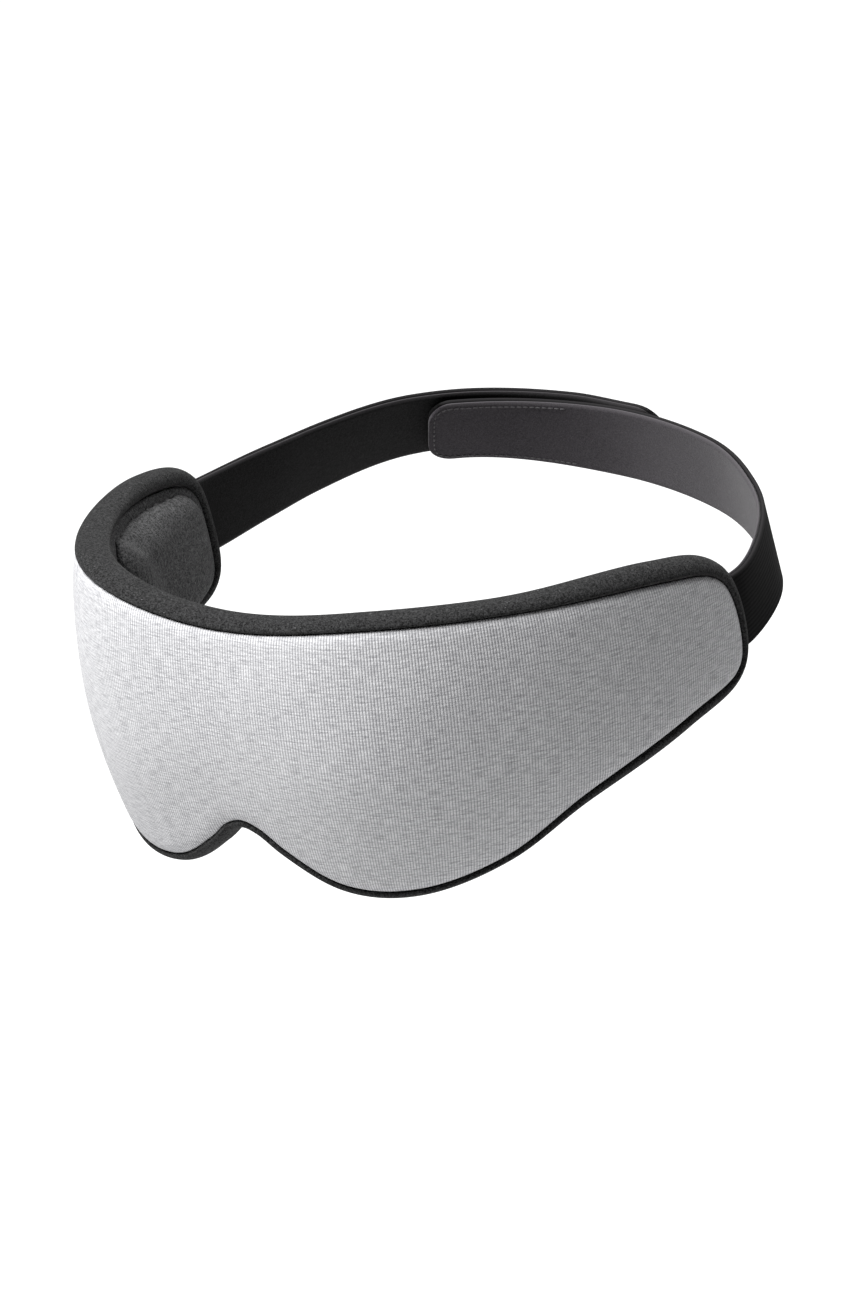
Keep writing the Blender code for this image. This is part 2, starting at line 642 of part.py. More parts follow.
def build_mask():
    edge = -SEAM_GAP
    add_panel("front_jersey", 0.0, JERSEY, edge, (0.62, 0.62, 0.63))
    add_panel("blackout_film", FILM_AT, FILM_AT + FILM, edge, (0.01, 0.01, 0.01))
    foam_bulge = band_bulge() - BAND_WALL - GAP - SEAM_GAP
    foam = add_panel("foam_core", FOAM_AT, FOAM_AT + FOAM, 0.0, (0.28, 0.28, 0.29), "inner", foam_bulge)
    add_panel("face_lining", LINING_AT, DEPTH, edge, (0.05, 0.05, 0.053), "outer inner")
    band = add_edge_band()
    for word, side in (("left", 1), ("right", -1)):
        cut(foam, strap_slot(word + "_foam_slot", side, 0.0, POCKET_FLOOR))
        cut(band, strap_slot(word + "_band_slot", side, ANCHOR_AT - GAP, ANCHOR_AT + ANCHOR + GAP))
        add_anchor(word, side)
        add_temple_pad(word, side)


for old in list(bpy.data.objects):
    bpy.data.objects.remove(old)
build_mask()
build_straps()
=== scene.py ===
"""Looks of a soft contoured eye mask and its adjustable head strap.

The mask's cloth panels, edge band, temple pads and straps are made again here as fine meshes on the same
surfaces as the solids that they stand for. Sizes are in millimetres until a mesh is made. A place on the
mask is (s, z, depth): s runs along the curved front from the nose to the wearer's left, z is the height,
and depth is measured from the outer face towards the head. A place on the strap is (along, across, out).
"""

import bmesh
import bpy
import json
import numpy as np
from math import atan2, cos, hypot, pi, radians, sin, tau
from mathutils import Matrix, Vector


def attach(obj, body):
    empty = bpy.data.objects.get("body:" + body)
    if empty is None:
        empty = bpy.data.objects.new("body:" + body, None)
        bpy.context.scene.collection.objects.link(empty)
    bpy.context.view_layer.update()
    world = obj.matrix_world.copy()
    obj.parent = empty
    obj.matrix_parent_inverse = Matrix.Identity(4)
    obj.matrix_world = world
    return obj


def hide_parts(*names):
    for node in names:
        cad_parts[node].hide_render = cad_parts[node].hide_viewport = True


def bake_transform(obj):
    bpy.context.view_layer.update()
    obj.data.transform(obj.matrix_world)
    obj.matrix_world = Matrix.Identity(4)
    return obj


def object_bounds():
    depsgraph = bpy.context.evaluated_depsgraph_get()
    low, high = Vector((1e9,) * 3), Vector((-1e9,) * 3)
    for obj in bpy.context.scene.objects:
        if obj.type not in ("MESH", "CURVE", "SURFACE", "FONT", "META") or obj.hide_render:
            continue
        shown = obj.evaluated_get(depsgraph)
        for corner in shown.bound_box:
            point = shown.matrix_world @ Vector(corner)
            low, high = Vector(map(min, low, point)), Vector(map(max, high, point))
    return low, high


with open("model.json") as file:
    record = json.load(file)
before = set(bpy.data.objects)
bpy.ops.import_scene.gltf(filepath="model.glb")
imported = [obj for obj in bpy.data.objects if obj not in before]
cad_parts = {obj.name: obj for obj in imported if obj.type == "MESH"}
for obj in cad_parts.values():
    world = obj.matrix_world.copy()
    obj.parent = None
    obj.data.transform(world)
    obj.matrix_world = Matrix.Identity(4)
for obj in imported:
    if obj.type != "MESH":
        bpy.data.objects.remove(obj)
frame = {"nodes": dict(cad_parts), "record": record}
cad_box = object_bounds()

MM = 0.001

# Mask outline at the front seam
HALF_LENGTH = 141.0
NOSE_TOP = 30.0
BROW_AT, BROW_TOP = 41.0, 33.0
TEMPLE_AT, TEMPLE_TOP = 82.0, 31.2
WING_TOP, WING_BOTTOM = 23.0, -1.7
WING_END_SLANT = 4.3
WING_TAPER, WING_TAPER_RISE = 20.0, 4.6
UPPER_CORNER, LOWER_CORNER, CORNER_EASE = 4.6, 3.2, 0.6
LOBE_AT, LOBE_BOTTOM = 46.0, -33.0
CHEEK_AT, CHEEK_BOTTOM = 69.5, -27.3
JAW_AT, JAW_BOTTOM = 90.0, -16.2
NOTCH_TOP = -17.7
NOTCH_CURVE_AT, NOTCH_CURVE = 4.6, -19.2
NOTCH_SIDE_AT, NOTCH_SIDE = 10.8, -24.2
NOTCH_FOOT_AT, NOTCH_FOOT = 24.0, -31.6

# How the front wraps round the head
NOSE_BEND = -0.0015
BROW_BEND_AT, BROW_BEND = 35.4, 0.0234
SIDE_BEND_AT, SIDE_BEND = 70.8, 0.0093
LEAN = -0.09
CROWN = 0.0041
FRONT_Y = -100.0

# Layers of the mask
GAP = 0.3
JERSEY = 0.8
LINING = 1.0
DEPTH = 8.2                # whole edge, front face to back face
FOAM_SWELL = 3.4
SEAM_GAP = 0.12
ROLL = 3.2                 # width over which a panel's edge rolls down into the seam
EYE_AT, EYE_HEIGHT = 33.0, 1.0
EYE_HALF_WIDTH, EYE_HALF_HEIGHT = 28.0, 21.0
EYE_HOLLOW = 6.8

# Edge band
BAND_WALL = 1.0
BAND_OUT = 2.58            # the stuffed band's middle stands this far out
BAND_BULGE, WING_BULGE = 2.3, 3.6
BULGE_FROM, BULGE_TO = 70.0, 115.0
WING_WIDER = (WING_BULGE - BAND_BULGE) / BAND_BULGE ** 2
SLOT_FRONT, SLOT_BACK = 1.4, 3.6

# Temple pads
PAD_FROM = 70.0
PAD_MARGIN = 0.8
PAD_CORNER = 4.0           # cut off each front corner
VALLEY_DEPTH, VALLEY_AT, VALLEY_WIDTH = 0.16, 4.0, 6.0
VALLEY_SLANT = 0.7         # of the soft fold across each pad
PAD_HEIGHT = 7.0
PAD_BASE = 7.6             # depth of its underside, let into the lining

# Straps
STRAP_WIDTH = 19.0
STRAP_HEIGHT = 11.5
ANCHOR_MIDDLE = 2.5        # depth of the strap's middle where it is sewn in
ANCHOR_LENGTH = 15.0
HINGE_AT = 146.4
ELASTIC_INNER, ELASTIC_OUTER = 0.02, 1.05
PILE_INNER, PILE_OUTER = -1.05, -0.02
HOOK_BASE = 1.85           # out from the strap's middle to the face that carries the hooks
STRAP_LOOP = (             # share of the way round, reach, rise and lean of the top inwards
    (0.104, 0.929, 1.3, 8.0),
    (0.253, 0.871, -0.7, 6.0),
    (0.401, 0.916, -1.2, 6.0),
    (0.555, 1.000, -0.8, 11.0),
    (0.709, 1.013, 2.6, 26.0),
    (0.857, 0.981, 2.6, 16.0),
)
TAB_END_SHARE = 0.742
TAB_LENGTH = 36.0
TAB_CORNER = 6.0
HIDDEN_CORNER = 9.0        # of the right strap's end, behind the left strap
TAB_ROOT = 12.0            # the tab's cloth starts this far before its fold
HOOK_MARGIN = 2.5
OVERLAP = 62.0
PASS_BEHIND, COME_BACK = 3.6, 0.9
SETTLE_LENGTH, CLOSE_LENGTH = 40.0, 14.0
BORDER_MARGIN = 1.3
RIB = 1.05                 # pitch of the elastic's lengthwise ribs
RIB_DEPTH = 0.02

# Fineness
HALF_COLUMNS, ROWS = 120, 28
COLUMNS = 2 * HALF_COLUMNS
ROLL_RINGS = 8
PAD_SIDES, PAD_RINGS = 96, 14
STRAP_STEP = 1.2


# ---------------------------------------------------------------- curves and surfaces

def eased(share):
    """A share limited to 0 to 1 that starts and ends softly."""
    share = np.clip(share, 0.0, 1.0)
    return share * share * (3 - 2 * share)


def smooth_curve(points, per_span):
    """A smooth curve through the points, with centripetal spacing and per_span steps between them."""
    pts = np.array(points, dtype=float)
    pts = np.vstack([2 * pts[0] - pts[1], pts, 2 * pts[-1] - pts[-2]])
    out = []
    for i in range(1, len(pts) - 2):
        p0, p1, p2, p3 = pts[i - 1:i + 3]
        t1 = np.linalg.norm(p1 - p0) ** 0.5
        t2 = t1 + np.linalg.norm(p2 - p1) ** 0.5
        t3 = t2 + np.linalg.norm(p3 - p2) ** 0.5
        t = np.linspace(t1, t2, per_span, endpoint=False)[:, None]
        a1 = (t1 - t) / t1 * p0 + t / t1 * p1
        a2 = (t2 - t) / (t2 - t1) * p1 + (t - t1) / (t2 - t1) * p2
        a3 = (t3 - t) / (t3 - t2) * p2 + (t - t2) / (t3 - t2) * p3
        b1 = (t2 - t) / t2 * a1 + t / t2 * a2
        b2 = (t3 - t) / (t3 - t1) * a2 + (t - t1) / (t3 - t1) * a3
        out.append((t2 - t) / (t2 - t1) * b1 + (t - t1) / (t2 - t1) * b2)
    return np.vstack([*out, pts[-2:-1]])


def arc_lengths(line):
    steps = np.linalg.norm(np.diff(line, axis=0), axis=1)
    return np.concatenate([[0.0], np.cumsum(steps)])


def resample(line, cells):
    """The same line with its points evenly spaced."""
    length = arc_lengths(line)
    at = np.linspace(0.0, length[-1], cells + 1)
    return np.column_stack([np.interp(at, length, column) for column in line.T])


def plan_table():
    """Position and heading along the front, every half millimetre from the nose."""
    s = np.arange(0.0, 1.5 * HALF_LENGTH, 0.5)
    bend = np.interp(s, [0.0, BROW_BEND_AT, SIDE_BEND_AT], [NOSE_BEND, BROW_BEND, SIDE_BEND])
    heading = np.concatenate([[0.0], np.cumsum((bend[1:] + bend[:-1]) / 2 * np.diff(s))])
    middle = (heading[1:] + heading[:-1]) / 2
    x = np.concatenate([[0.0], np.cumsum(np.cos(middle) * np.diff(s))])
    y = np.concatenate([[0.0], np.cumsum(np.sin(middle) * np.diff(s))])
    return s, x, y, heading


PLAN = plan_table()


def mask_points(s, z, depth):
    """World places of points at s along the front, z high and depth inwards."""
    table_s, table_x, table_y, table_heading = PLAN
    x, y, heading = (np.interp(np.abs(s), table_s, column) for column in (table_x, table_y, table_heading))
    inwards = depth + LEAN * z + CROWN * z * z
    side = np.where(s < 0, -1.0, 1.0)
    z = z + np.zeros_like(inwards)
    return np.stack([side * (x - np.sin(heading) * inwards), FRONT_Y + y + np.cos(heading) * inwards, z], -1)


def flat_points(s, up, depth):
    """Like mask_points, but straight across the strap's width, as a flat strap lies on crowned cloth."""
    slope = LEAN + 2 * CROWN * STRAP_HEIGHT
    chord = CROWN * (STRAP_WIDTH / 2) ** 2
    points = mask_points(np.array(s), np.array(STRAP_HEIGHT), np.array(depth + chord + slope * up))
    return points + np.array((0.0, 0.0, up))


def half_outline():
    """The left half of the front seam: top run, end run and bottom run, from nose to nose."""
    upper_s = HALF_LENGTH - WING_END_SLANT
    before_nose = [(-BROW_AT, BROW_TOP)]
    top = [(0.0, NOSE_TOP), (BROW_AT, BROW_TOP), (TEMPLE_AT, TEMPLE_TOP),
           (upper_s - WING_TAPER, WING_TOP + WING_TAPER_RISE)]
    upper_corner = [(upper_s - UPPER_CORNER, WING_TOP + CORNER_EASE),
                    (upper_s + CORNER_EASE, WING_TOP - UPPER_CORNER)]
    lower_corner = [(HALF_LENGTH - CORNER_EASE, WING_BOTTOM + LOWER_CORNER),
                    (HALF_LENGTH - LOWER_CORNER, WING_BOTTOM - CORNER_EASE)]
    bottom = [(HALF_LENGTH - WING_TAPER, WING_BOTTOM - WING_TAPER_RISE), (JAW_AT, JAW_BOTTOM),
              (CHEEK_AT, CHEEK_BOTTOM), (LOBE_AT, LOBE_BOTTOM), (NOTCH_FOOT_AT, NOTCH_FOOT),
              (NOTCH_SIDE_AT, NOTCH_SIDE), (NOTCH_CURVE_AT, NOTCH_CURVE), (0.0, NOTCH_TOP)]
    points = before_nose + top + upper_corner + lower_corner + bottom + [(-NOTCH_CURVE_AT, NOTCH_CURVE)]
    half_span = 12
    line = smooth_curve(points, 2 * half_span)
    nose = 2 * half_span
    upper = nose + len(top) * 2 * half_span + half_span
    lower = upper + len(upper_corner) * 2 * half_span
    return line[nose:upper + 1], line[upper:lower + 1], line[lower:-2 * half_span]


def seam_loop():
    """The seam as one closed ring of points: top, left end, bottom, right end, top."""
    top, end, bottom = half_outline()
    left = np.vstack([resample(top, HALF_COLUMNS)[:-1], resample(end, ROWS)[:-1],
                      resample(bottom, HALF_COLUMNS)])
    right = left[-2:0:-1] * [-1.0, 1.0]
    return np.vstack([left, right])


SEAM = seam_loop()
SEAM_ALONG = np.concatenate([arc_lengths(SEAM), [np.linalg.norm(SEAM[0] - SEAM[-1])]])
TOP_RUN = SEAM[:HALF_COLUMNS + 1]
BOTTOM_RUN = SEAM[HALF_COLUMNS + ROWS:COLUMNS + ROWS + 1][::-1]


def moved_seam(amount):
    """The seam moved outwards by amount, one number or one for each point, within the cloth's surface."""
    along = np.roll(SEAM, -1, axis=0) - np.roll(SEAM, 1, axis=0)
    along /= np.linalg.norm(along, axis=1)[:, None]
    outwards = np.column_stack([-along[:, 1], along[:, 0]])
    return SEAM + outwards * np.broadcast_to(amount, len(SEAM))[:, None]


def panel_grid(amount):
    """Places that fill the seam moved by amount: [column][row], from the right wing, row 0 on top."""
    ring = moved_seam(amount)
    upper_left, lower_left = HALF_COLUMNS, HALF_COLUMNS + ROWS
    lower_right = lower_left + COLUMNS
    upper_right = lower_right + ROWS
    top = np.vstack([ring[upper_right:], ring[:upper_left + 1]])
    left_end = ring[upper_left:lower_left + 1]
    bottom = ring[lower_left:lower_right + 1][::-1]
    right_end = ring[lower_right:upper_right + 1][::-1]
    u = np.linspace(0.0, 1.0, COLUMNS + 1)[:, None, None]
    v = np.linspace(0.0, 1.0, ROWS + 1)[None, :, None]
    across = (1 - v) * top[:, None] + v * bottom[:, None]
    along = (1 - u) * right_end[None] + u * left_end[None]
    corners = (1 - u) * ((1 - v) * top[0] + v * bottom[0]) + u * ((1 - v) * top[-1] + v * bottom[-1])
    return across + along - corners


def foam_swell(s, z):
    """How much further in the inner faces lie than at the edge."""
    top, bottom = (np.interp(np.abs(s), run[:, 0], run[:, 1]) for run in (TOP_RUN, BOTTOM_RUN))
    up = np.minimum(np.abs(2 * z - top - bottom) / (top - bottom), 1.0)
    out = np.minimum(np.abs(s) / HALF_LENGTH, 1.0)
    return FOAM_SWELL * (1 - up ** 4) * (1 - out ** 4)


def eye_hollow(s, z):
    """How far the inner faces dip towards the front at an eye."""
    across = (np.abs(s) - EYE_AT) / EYE_HALF_WIDTH
    up = (z - EYE_HEIGHT) / EYE_HALF_HEIGHT
    away = np.minimum(across * across + up * up, 1.0)
    return EYE_HOLLOW * (1 - away ** 1.5) ** 2


def soft_waves(s, z, reach):
    """Slow uneven swells of hand-sewn cloth, from -1 to 1, with the given distance between them."""
    a, b = s / reach * tau, z / reach * tau
    along = np.sin(a + 1.3 * np.sin(b * 0.7))
    across = np.sin(b * 1.1 + 0.9 * np.cos(a * 0.6))
    return (along + across + np.sin(a * 0.63 - b)) / 3


# ---------------------------------------------------------------- node trees

def add_node(tree, kind, inputs=None, **settings):
    """A node with its settings, and its inputs set or linked."""
    node = tree.nodes.new(kind)
    for name, value in settings.items():
        setattr(node, name, value)
    for key, value in (inputs or {}).items():
        if isinstance(value, bpy.types.NodeSocket):
            tree.links.new(value, node.inputs[key])
        else:
            node.inputs[key].default_value = value
    return node


def sums(tree, operation, *values):
    """The result of one Math node."""
    return add_node(tree, "ShaderNodeMath", dict(enumerate(values)), operation=operation).outputs[0]


def new_group(name, inputs, outputs):
    """A shader group with named sockets, and its input and output nodes."""
    tree = bpy.data.node_groups.new(name, "ShaderNodeTree")
    for label, value in inputs.items():
        kind = "NodeSocketVector" if value is None else "NodeSocketFloat"
        socket = tree.interface.new_socket(label, in_out="INPUT", socket_type=kind)
        if value is not None:
            socket.default_value = value
    for label in outputs:
        tree.interface.new_socket(label, in_out="OUTPUT", socket_type="NodeSocketFloat")
    return tree, add_node(tree, "NodeGroupInput").outputs, add_node(tree, "NodeGroupOutput")


def finish_group(tree, result, **values):
    for label, value in values.items():
        tree.links.new(value, result.inputs[label.replace("_", " ").capitalize()])
    return tree


def split(tree, vector):
    return add_node(tree, "ShaderNodeSeparateXYZ", {0: vector}).outputs


def stretched(tree, vector, x, y, z):
    """The vector with each part divided by a size."""
    size = add_node(tree, "ShaderNodeCombineXYZ", {0: x, 1: y, 2: z}).outputs[0]
    return add_node(tree, "ShaderNodeVectorMath", {0: vector, 1: size}, operation="DIVIDE").outputs[0]


def speckle(tree, vector, detail, roughness=0.6):
    return add_node(tree, "ShaderNodeTexNoise", {"Vector": vector, "Scale": 1.0, "Detail": detail,
                                                 "Roughness": roughness}).outputs["Fac"]


def to_range(tree, value, low, high, new_low=0.0, new_high=1.0):
    sizes = {0: value, 1: low, 2: high, 3: new_low, 4: new_high}
    return add_node(tree, "ShaderNodeMapRange", sizes).outputs[0]


def knit_group():
    """Columns of V stitches: height and the shade between the legs."""
    tree, given, result = new_group("knit_stitches", {"Vector": None, "Wale": 0.8, "Course": 0.6},
                                    ("Height", "Shade"))
    x, y, _ = split(tree, given["Vector"])
    column = sums(tree, "DIVIDE", x, given["Wale"])
    from_middle = sums(tree, "ABSOLUTE", sums(tree, "SUBTRACT", sums(tree, "FRACT", column), 0.5))
    legs = sums(tree, "ABSOLUTE", sums(tree, "SINE", sums(tree, "MULTIPLY", column, tau)))
    row = sums(tree, "ADD", sums(tree, "DIVIDE", y, given["Course"]), from_middle)
    loops = sums(tree, "SINE", sums(tree, "MULTIPLY", row, tau))
    height = sums(tree, "MULTIPLY", legs, to_range(tree, loops, -1.0, 1.0, 0.75, 1.0))
    return finish_group(tree, result, Height=height, Shade=to_range(tree, height, 0.0, 0.6))


def heather_group():
    """Uneven dark fibres lying across the cloth, from long streaks to short flecks."""
    tree, given, result = new_group("heather_fibres", {"Vector": None, "Length": 9.0, "Thickness": 0.5},
                                    ("Mask",))
    streaks = speckle(tree, stretched(tree, given["Vector"], given["Length"], given["Thickness"], 1.0), 3.0)
    short = sums(tree, "MULTIPLY", given["Length"], 0.22)
    thin = sums(tree, "MULTIPLY", given["Thickness"], 0.55)
    flecks = speckle(tree, stretched(tree, given["Vector"], short, thin, 1.0), 2.0)
    both = sums(tree, "ADD", to_range(tree, streaks, 0.42, 0.72), to_range(tree, flecks, 0.5, 0.8, 0.0, 0.8))
    return finish_group(tree, result, Mask=sums(tree, "MINIMUM", both, 1.0))


def nap_group():
    """Short brushed fibres: height, and the flecks of lighter fibre ends."""
    tree, given, result = new_group("brushed_nap", {"Vector": None, "Fibre": 0.3}, ("Height", "Flecks"))
    fibre = given["Fibre"]
    fine = speckle(tree, stretched(tree, given["Vector"], fibre, fibre, fibre), 4.0, 0.7)
    coarse = sums(tree, "MULTIPLY", fibre, 2.2)
    tufts = speckle(tree, stretched(tree, given["Vector"], coarse, coarse, coarse), 2.0)
    height = sums(tree, "ADD", sums(tree, "MULTIPLY", fine, 0.7), sums(tree, "MULTIPLY", tufts, 0.5))
    uneven = sums(tree, "MULTIPLY", fine, to_range(tree, tufts, 0.3, 0.7, 0.85, 1.1))
    flecks = to_range(tree, uneven, 0.38, 0.62)
    return finish_group(tree, result, Height=height, Flecks=flecks)


def rib_group():
    """Lengthwise ribs crossed by close weft threads."""
    tree, given, result = new_group("ribbed_weave", {"Vector": None, "Rib": 1.0, "Weft": 0.5},
                                    ("Height", "Shade"))
    x, y, _ = split(tree, given["Vector"])
    rib = sums(tree, "DIVIDE", y, given["Rib"])
    ribs = sums(tree, "ABSOLUTE", sums(tree, "SINE", sums(tree, "MULTIPLY", rib, pi)))
    turned = sums(tree, "ADD", sums(tree, "DIVIDE", x, given["Weft"]),
                  sums(tree, "MULTIPLY", sums(tree, "FLOOR", rib), 0.5))
    weft = sums(tree, "SINE", sums(tree, "MULTIPLY", turned, tau))
    height = sums(tree, "MULTIPLY", ribs, to_range(tree, weft, -1.0, 1.0, 0.6, 1.0))
    return finish_group(tree, result, Height=height, Shade=to_range(tree, height, 0.0, 0.7))


def edge_highlight_group():
    """Mask for a painted edge highlight: one at the two long edges of a strap, nothing further in."""
    tree, given, result = new_group("strap_edge_highlight", {"Vector": None, "Half width": 9.5, "Border": 0.8},
                                    ("Mask",))
    y = split(tree, given["Vector"])[1]
    inside = sums(tree, "SUBTRACT", given["Half width"], sums(tree, "ABSOLUTE", y))
    share = sums(tree, "DIVIDE", inside, given["Border"])
    return finish_group(tree, result, Mask=to_range(tree, share, 1.0, 0.0))


def wear_group():
    """Slow changes of tone where cloth is handled, with a few pale lint flecks."""
    tree, given, result = new_group("handling_wear", {"Vector": None, "Patch": 30.0}, ("Tone", "Lint"))
    patch = given["Patch"]
    tone = speckle(tree, stretched(tree, given["Vector"], patch, patch, patch), 3.0)
    near = sums(tree, "MULTIPLY", patch, 0.03)
    lint = to_range(tree, speckle(tree, stretched(tree, given["Vector"], near, near, near), 1.0), 0.74, 0.8)
    return finish_group(tree, result, Tone=to_range(tree, tone, 0.3, 0.7), Lint=lint)


KNIT, HEATHER, NAP, RIBS = knit_group(), heather_group(), nap_group(), rib_group()
EDGE_HIGHLIGHT, WEAR = edge_highlight_group(), wear_group()


# ---------------------------------------------------------------- materials

class Finish:
    """A cloth or plastic finish in the making: one Principled shader and what feeds it."""

    def __init__(self, name, roughness, sheen=0.0, sheen_roughness=0.5, specular=0.5):
        self.material = bpy.data.materials.new(name)
        self.material.use_nodes = True
        self.tree = self.material.node_tree
        self.shader = self.tree.nodes["Principled BSDF"]
        self.shader.inputs["Roughness"].default_value = roughness
        self.shader.inputs["Sheen Weight"].default_value = sheen
        self.shader.inputs["Sheen Roughness"].default_value = sheen_roughness
        self.shader.inputs["Specular IOR Level"].default_value = specular

    def own_map(self):
        """Places on the cloth itself, in millimetres."""
        return add_node(self.tree, "ShaderNodeUVMap", uv_map="cloth").outputs[0]

    def space(self):
        """Places in the object's space, in millimetres."""
        place = add_node(self.tree, "ShaderNodeTexCoord").outputs["Object"]
        in_mm = add_node(self.tree, "ShaderNodeVectorMath", {0: place, "Scale": 1 / MM}, operation="SCALE")
        return in_mm.outputs[0]

    def use(self, group, vector, **sizes):
        node = add_node(self.tree, "ShaderNodeGroup", node_tree=group)
        self.tree.links.new(vector, node.inputs["Vector"])
        for name, value in sizes.items():
            node.inputs[name.replace("_", " ")].default_value = value
        return node.outputs

    def mix(self, share, first, second):
        """A colour between two colours, each a colour socket or three numbers."""
        node = add_node(self.tree, "ShaderNodeMix", data_type="RGBA")
        for key, value in (("A_Color", first), ("B_Color", second)):
            socket = next(s for s in node.inputs if s.identifier == key)
            if isinstance(value, bpy.types.NodeSocket):
                self.tree.links.new(value, socket)
            else:
                socket.default_value = (*value, 1.0)
        self.tree.links.new(share, node.inputs["Factor"])
        return next(s for s in node.outputs if s.identifier == "Result_Color")

    def times(self, value, amount):
        return sums(self.tree, "MULTIPLY", value, amount)

    def plus(self, first, second):
        return sums(self.tree, "ADD", first, second)

    def feed(self, colour, roughness=None, height=None, bump=0.3, distance=0.2):
        """Link the shader's inputs; distance is the full height of the bump in millimetres."""
        self.tree.links.new(colour, self.shader.inputs["Base Color"])
        if roughness is not None:
            self.tree.links.new(roughness, self.shader.inputs["Roughness"])
        if height is not None:
            sizes = {"Strength": bump, "Distance": distance * MM, "Height": height}
            node = add_node(self.tree, "ShaderNodeBump", sizes)
            self.tree.links.new(node.outputs[0], self.shader.inputs["Normal"])
        return self.material


def heather_jersey():
    finish = Finish("heather_jersey", 0.9, sheen=0.2, sheen_roughness=0.6, specular=0.25)
    cloth = finish.own_map()
    knit = finish.use(KNIT, cloth, Wale=1.44, Course=0.95)
    streaks = finish.use(HEATHER, cloth, Length=3.6, Thickness=0.34)
    nap = finish.use(NAP, finish.space(), Fibre=0.4)
    wear = finish.use(WEAR, finish.space(), Patch=38.0)
    colour = finish.mix(finish.times(streaks["Mask"], 0.85), (0.92, 0.92, 0.935), (0.34, 0.34, 0.36))
    between = to_range(finish.tree, knit["Shade"], 1.0, 0.0)
    colour = finish.mix(finish.times(between, 0.8), colour, (0.16, 0.16, 0.18))
    colour = finish.mix(finish.times(wear["Tone"], 0.10), colour, (0.52, 0.52, 0.54))
    colour = finish.mix(finish.times(nap["Flecks"], 0.3), colour, (0.42, 0.42, 0.44))
    height = finish.plus(knit["Height"], finish.times(nap["Height"], 0.5))
    roughness = to_range(finish.tree, knit["Height"], 0.0, 1.0, 0.97, 0.84)
    return finish.feed(colour, roughness, height, bump=0.7, distance=0.18)


def dark_knit(name, deep, pale, fibre):
    """Charcoal brushed knit in a deep tone with paler fibre ends."""
    finish = Finish(name, 0.92, sheen=0.05, sheen_roughness=0.5, specular=0.08)
    space = finish.space()
    nap = finish.use(NAP, space, Fibre=fibre)
    wear = finish.use(WEAR, space, Patch=24.0)
    colour = finish.mix(nap["Flecks"], deep, pale)
    middle = [0.6 * a + 0.4 * b for a, b in zip(deep, pale)]
    colour = finish.mix(finish.times(wear["Tone"], 0.25), colour, middle)
    colour = finish.mix(finish.times(wear["Lint"], 0.35), colour, (0.32, 0.32, 0.33))
    roughness = to_range(finish.tree, nap["Height"], 0.2, 1.0, 0.98, 0.82)
    return finish.feed(colour, roughness, nap["Height"], bump=0.9, distance=0.3)


def black_elastic():
    finish = Finish("black_elastic", 0.85, specular=0.06)
    cloth = finish.own_map()
    ribs = finish.use(RIBS, cloth, Rib=RIB, Weft=0.55)
    edge = finish.use(EDGE_HIGHLIGHT, cloth, Half_width=STRAP_WIDTH / 2, Border=0.9)
    nap = finish.use(NAP, finish.space(), Fibre=0.18)
    colour = finish.mix(ribs["Shade"], (0.003, 0.003, 0.003), (0.005, 0.005, 0.0052))
    colour = finish.mix(finish.times(nap["Flecks"], 0.2), colour, (0.018, 0.017, 0.018))
    # painted highlight: colour made lighter along the strap's two long edges, standing in for light caught on
    # the rounded edges
    colour = finish.mix(finish.times(edge["Mask"], 0.5), colour, (0.05, 0.048, 0.05))
    roughness = to_range(finish.tree, ribs["Height"], 0.0, 1.0, 0.95, 0.75)
    return finish.feed(colour, roughness, ribs["Height"], bump=0.25, distance=0.12)


def pile_cloth(name, deep, pale, fibre, highlight_share):
    """Short standing pile on the inside of a strap, with a painted highlight line at its edges."""
    finish = Finish(name, 0.94, sheen=0.12, sheen_roughness=0.5, specular=0.15)
    nap = finish.use(NAP, finish.space(), Fibre=fibre)
    wear = finish.use(WEAR, finish.space(), Patch=16.0)
    edge = finish.use(EDGE_HIGHLIGHT, finish.own_map(), Half_width=STRAP_WIDTH / 2, Border=0.8)
    colour = finish.mix(nap["Flecks"], deep, pale)
    colour = finish.mix(finish.times(wear["Tone"], 0.3), colour, pale)
    # painted highlight: a lighter line along the strap's two long edges
    colour = finish.mix(finish.times(edge["Mask"], highlight_share), colour, (0.16, 0.15, 0.16))
    roughness = to_range(finish.tree, nap["Height"], 0.2, 1.0, 0.98, 0.85)
    return finish.feed(colour, roughness, nap["Height"], bump=0.5, distance=0.25)


def hook_tape():
    finish = Finish("hook_tape", 0.4, specular=0.5)
    nap = finish.use(NAP, finish.space(), Fibre=0.6)
    wear = finish.use(WEAR, finish.space(), Patch=6.0)
    colour = finish.mix(nap["Flecks"], (0.012, 0.012, 0.012), (0.03, 0.03, 0.031))
    colour = finish.mix(finish.times(wear["Lint"], 0.5), colour, (0.2, 0.2, 0.2))
    roughness = to_range(finish.tree, wear["Tone"], 0.0, 1.0, 0.32, 0.5)
    return finish.feed(colour, roughness, nap["Height"], bump=0.2, distance=0.08)


def thread():
    finish = Finish("thread", 0.65, sheen=0.3, specular=0.4)
    nap = finish.use(NAP, finish.space(), Fibre=0.12)
    wear = finish.use(WEAR, finish.space(), Patch=3.0)
    colour = finish.mix(nap["Flecks"], (0.04, 0.037, 0.041), (0.08, 0.075, 0.08))
    colour = finish.mix(finish.times(wear["Tone"], 0.3), colour, (0.04, 0.04, 0.04))
    roughness = to_range(finish.tree, nap["Height"], 0.2, 1.0, 0.8, 0.55)
    return finish.feed(colour, roughness, nap["Height"], bump=0.4, distance=0.08)


def light_proof_film():
    finish = Finish("light_proof_film", 0.5, specular=0.4)
    wear = finish.use(WEAR, finish.space(), Patch=9.0)
    nap = finish.use(NAP, finish.space(), Fibre=2.5)
    colour = finish.mix(wear["Tone"], (0.008, 0.008, 0.008), (0.02, 0.02, 0.021))
    roughness = to_range(finish.tree, nap["Height"], 0.2, 1.0, 0.4, 0.65)
    return finish.feed(colour, roughness, nap["Height"], bump=0.3, distance=0.3)


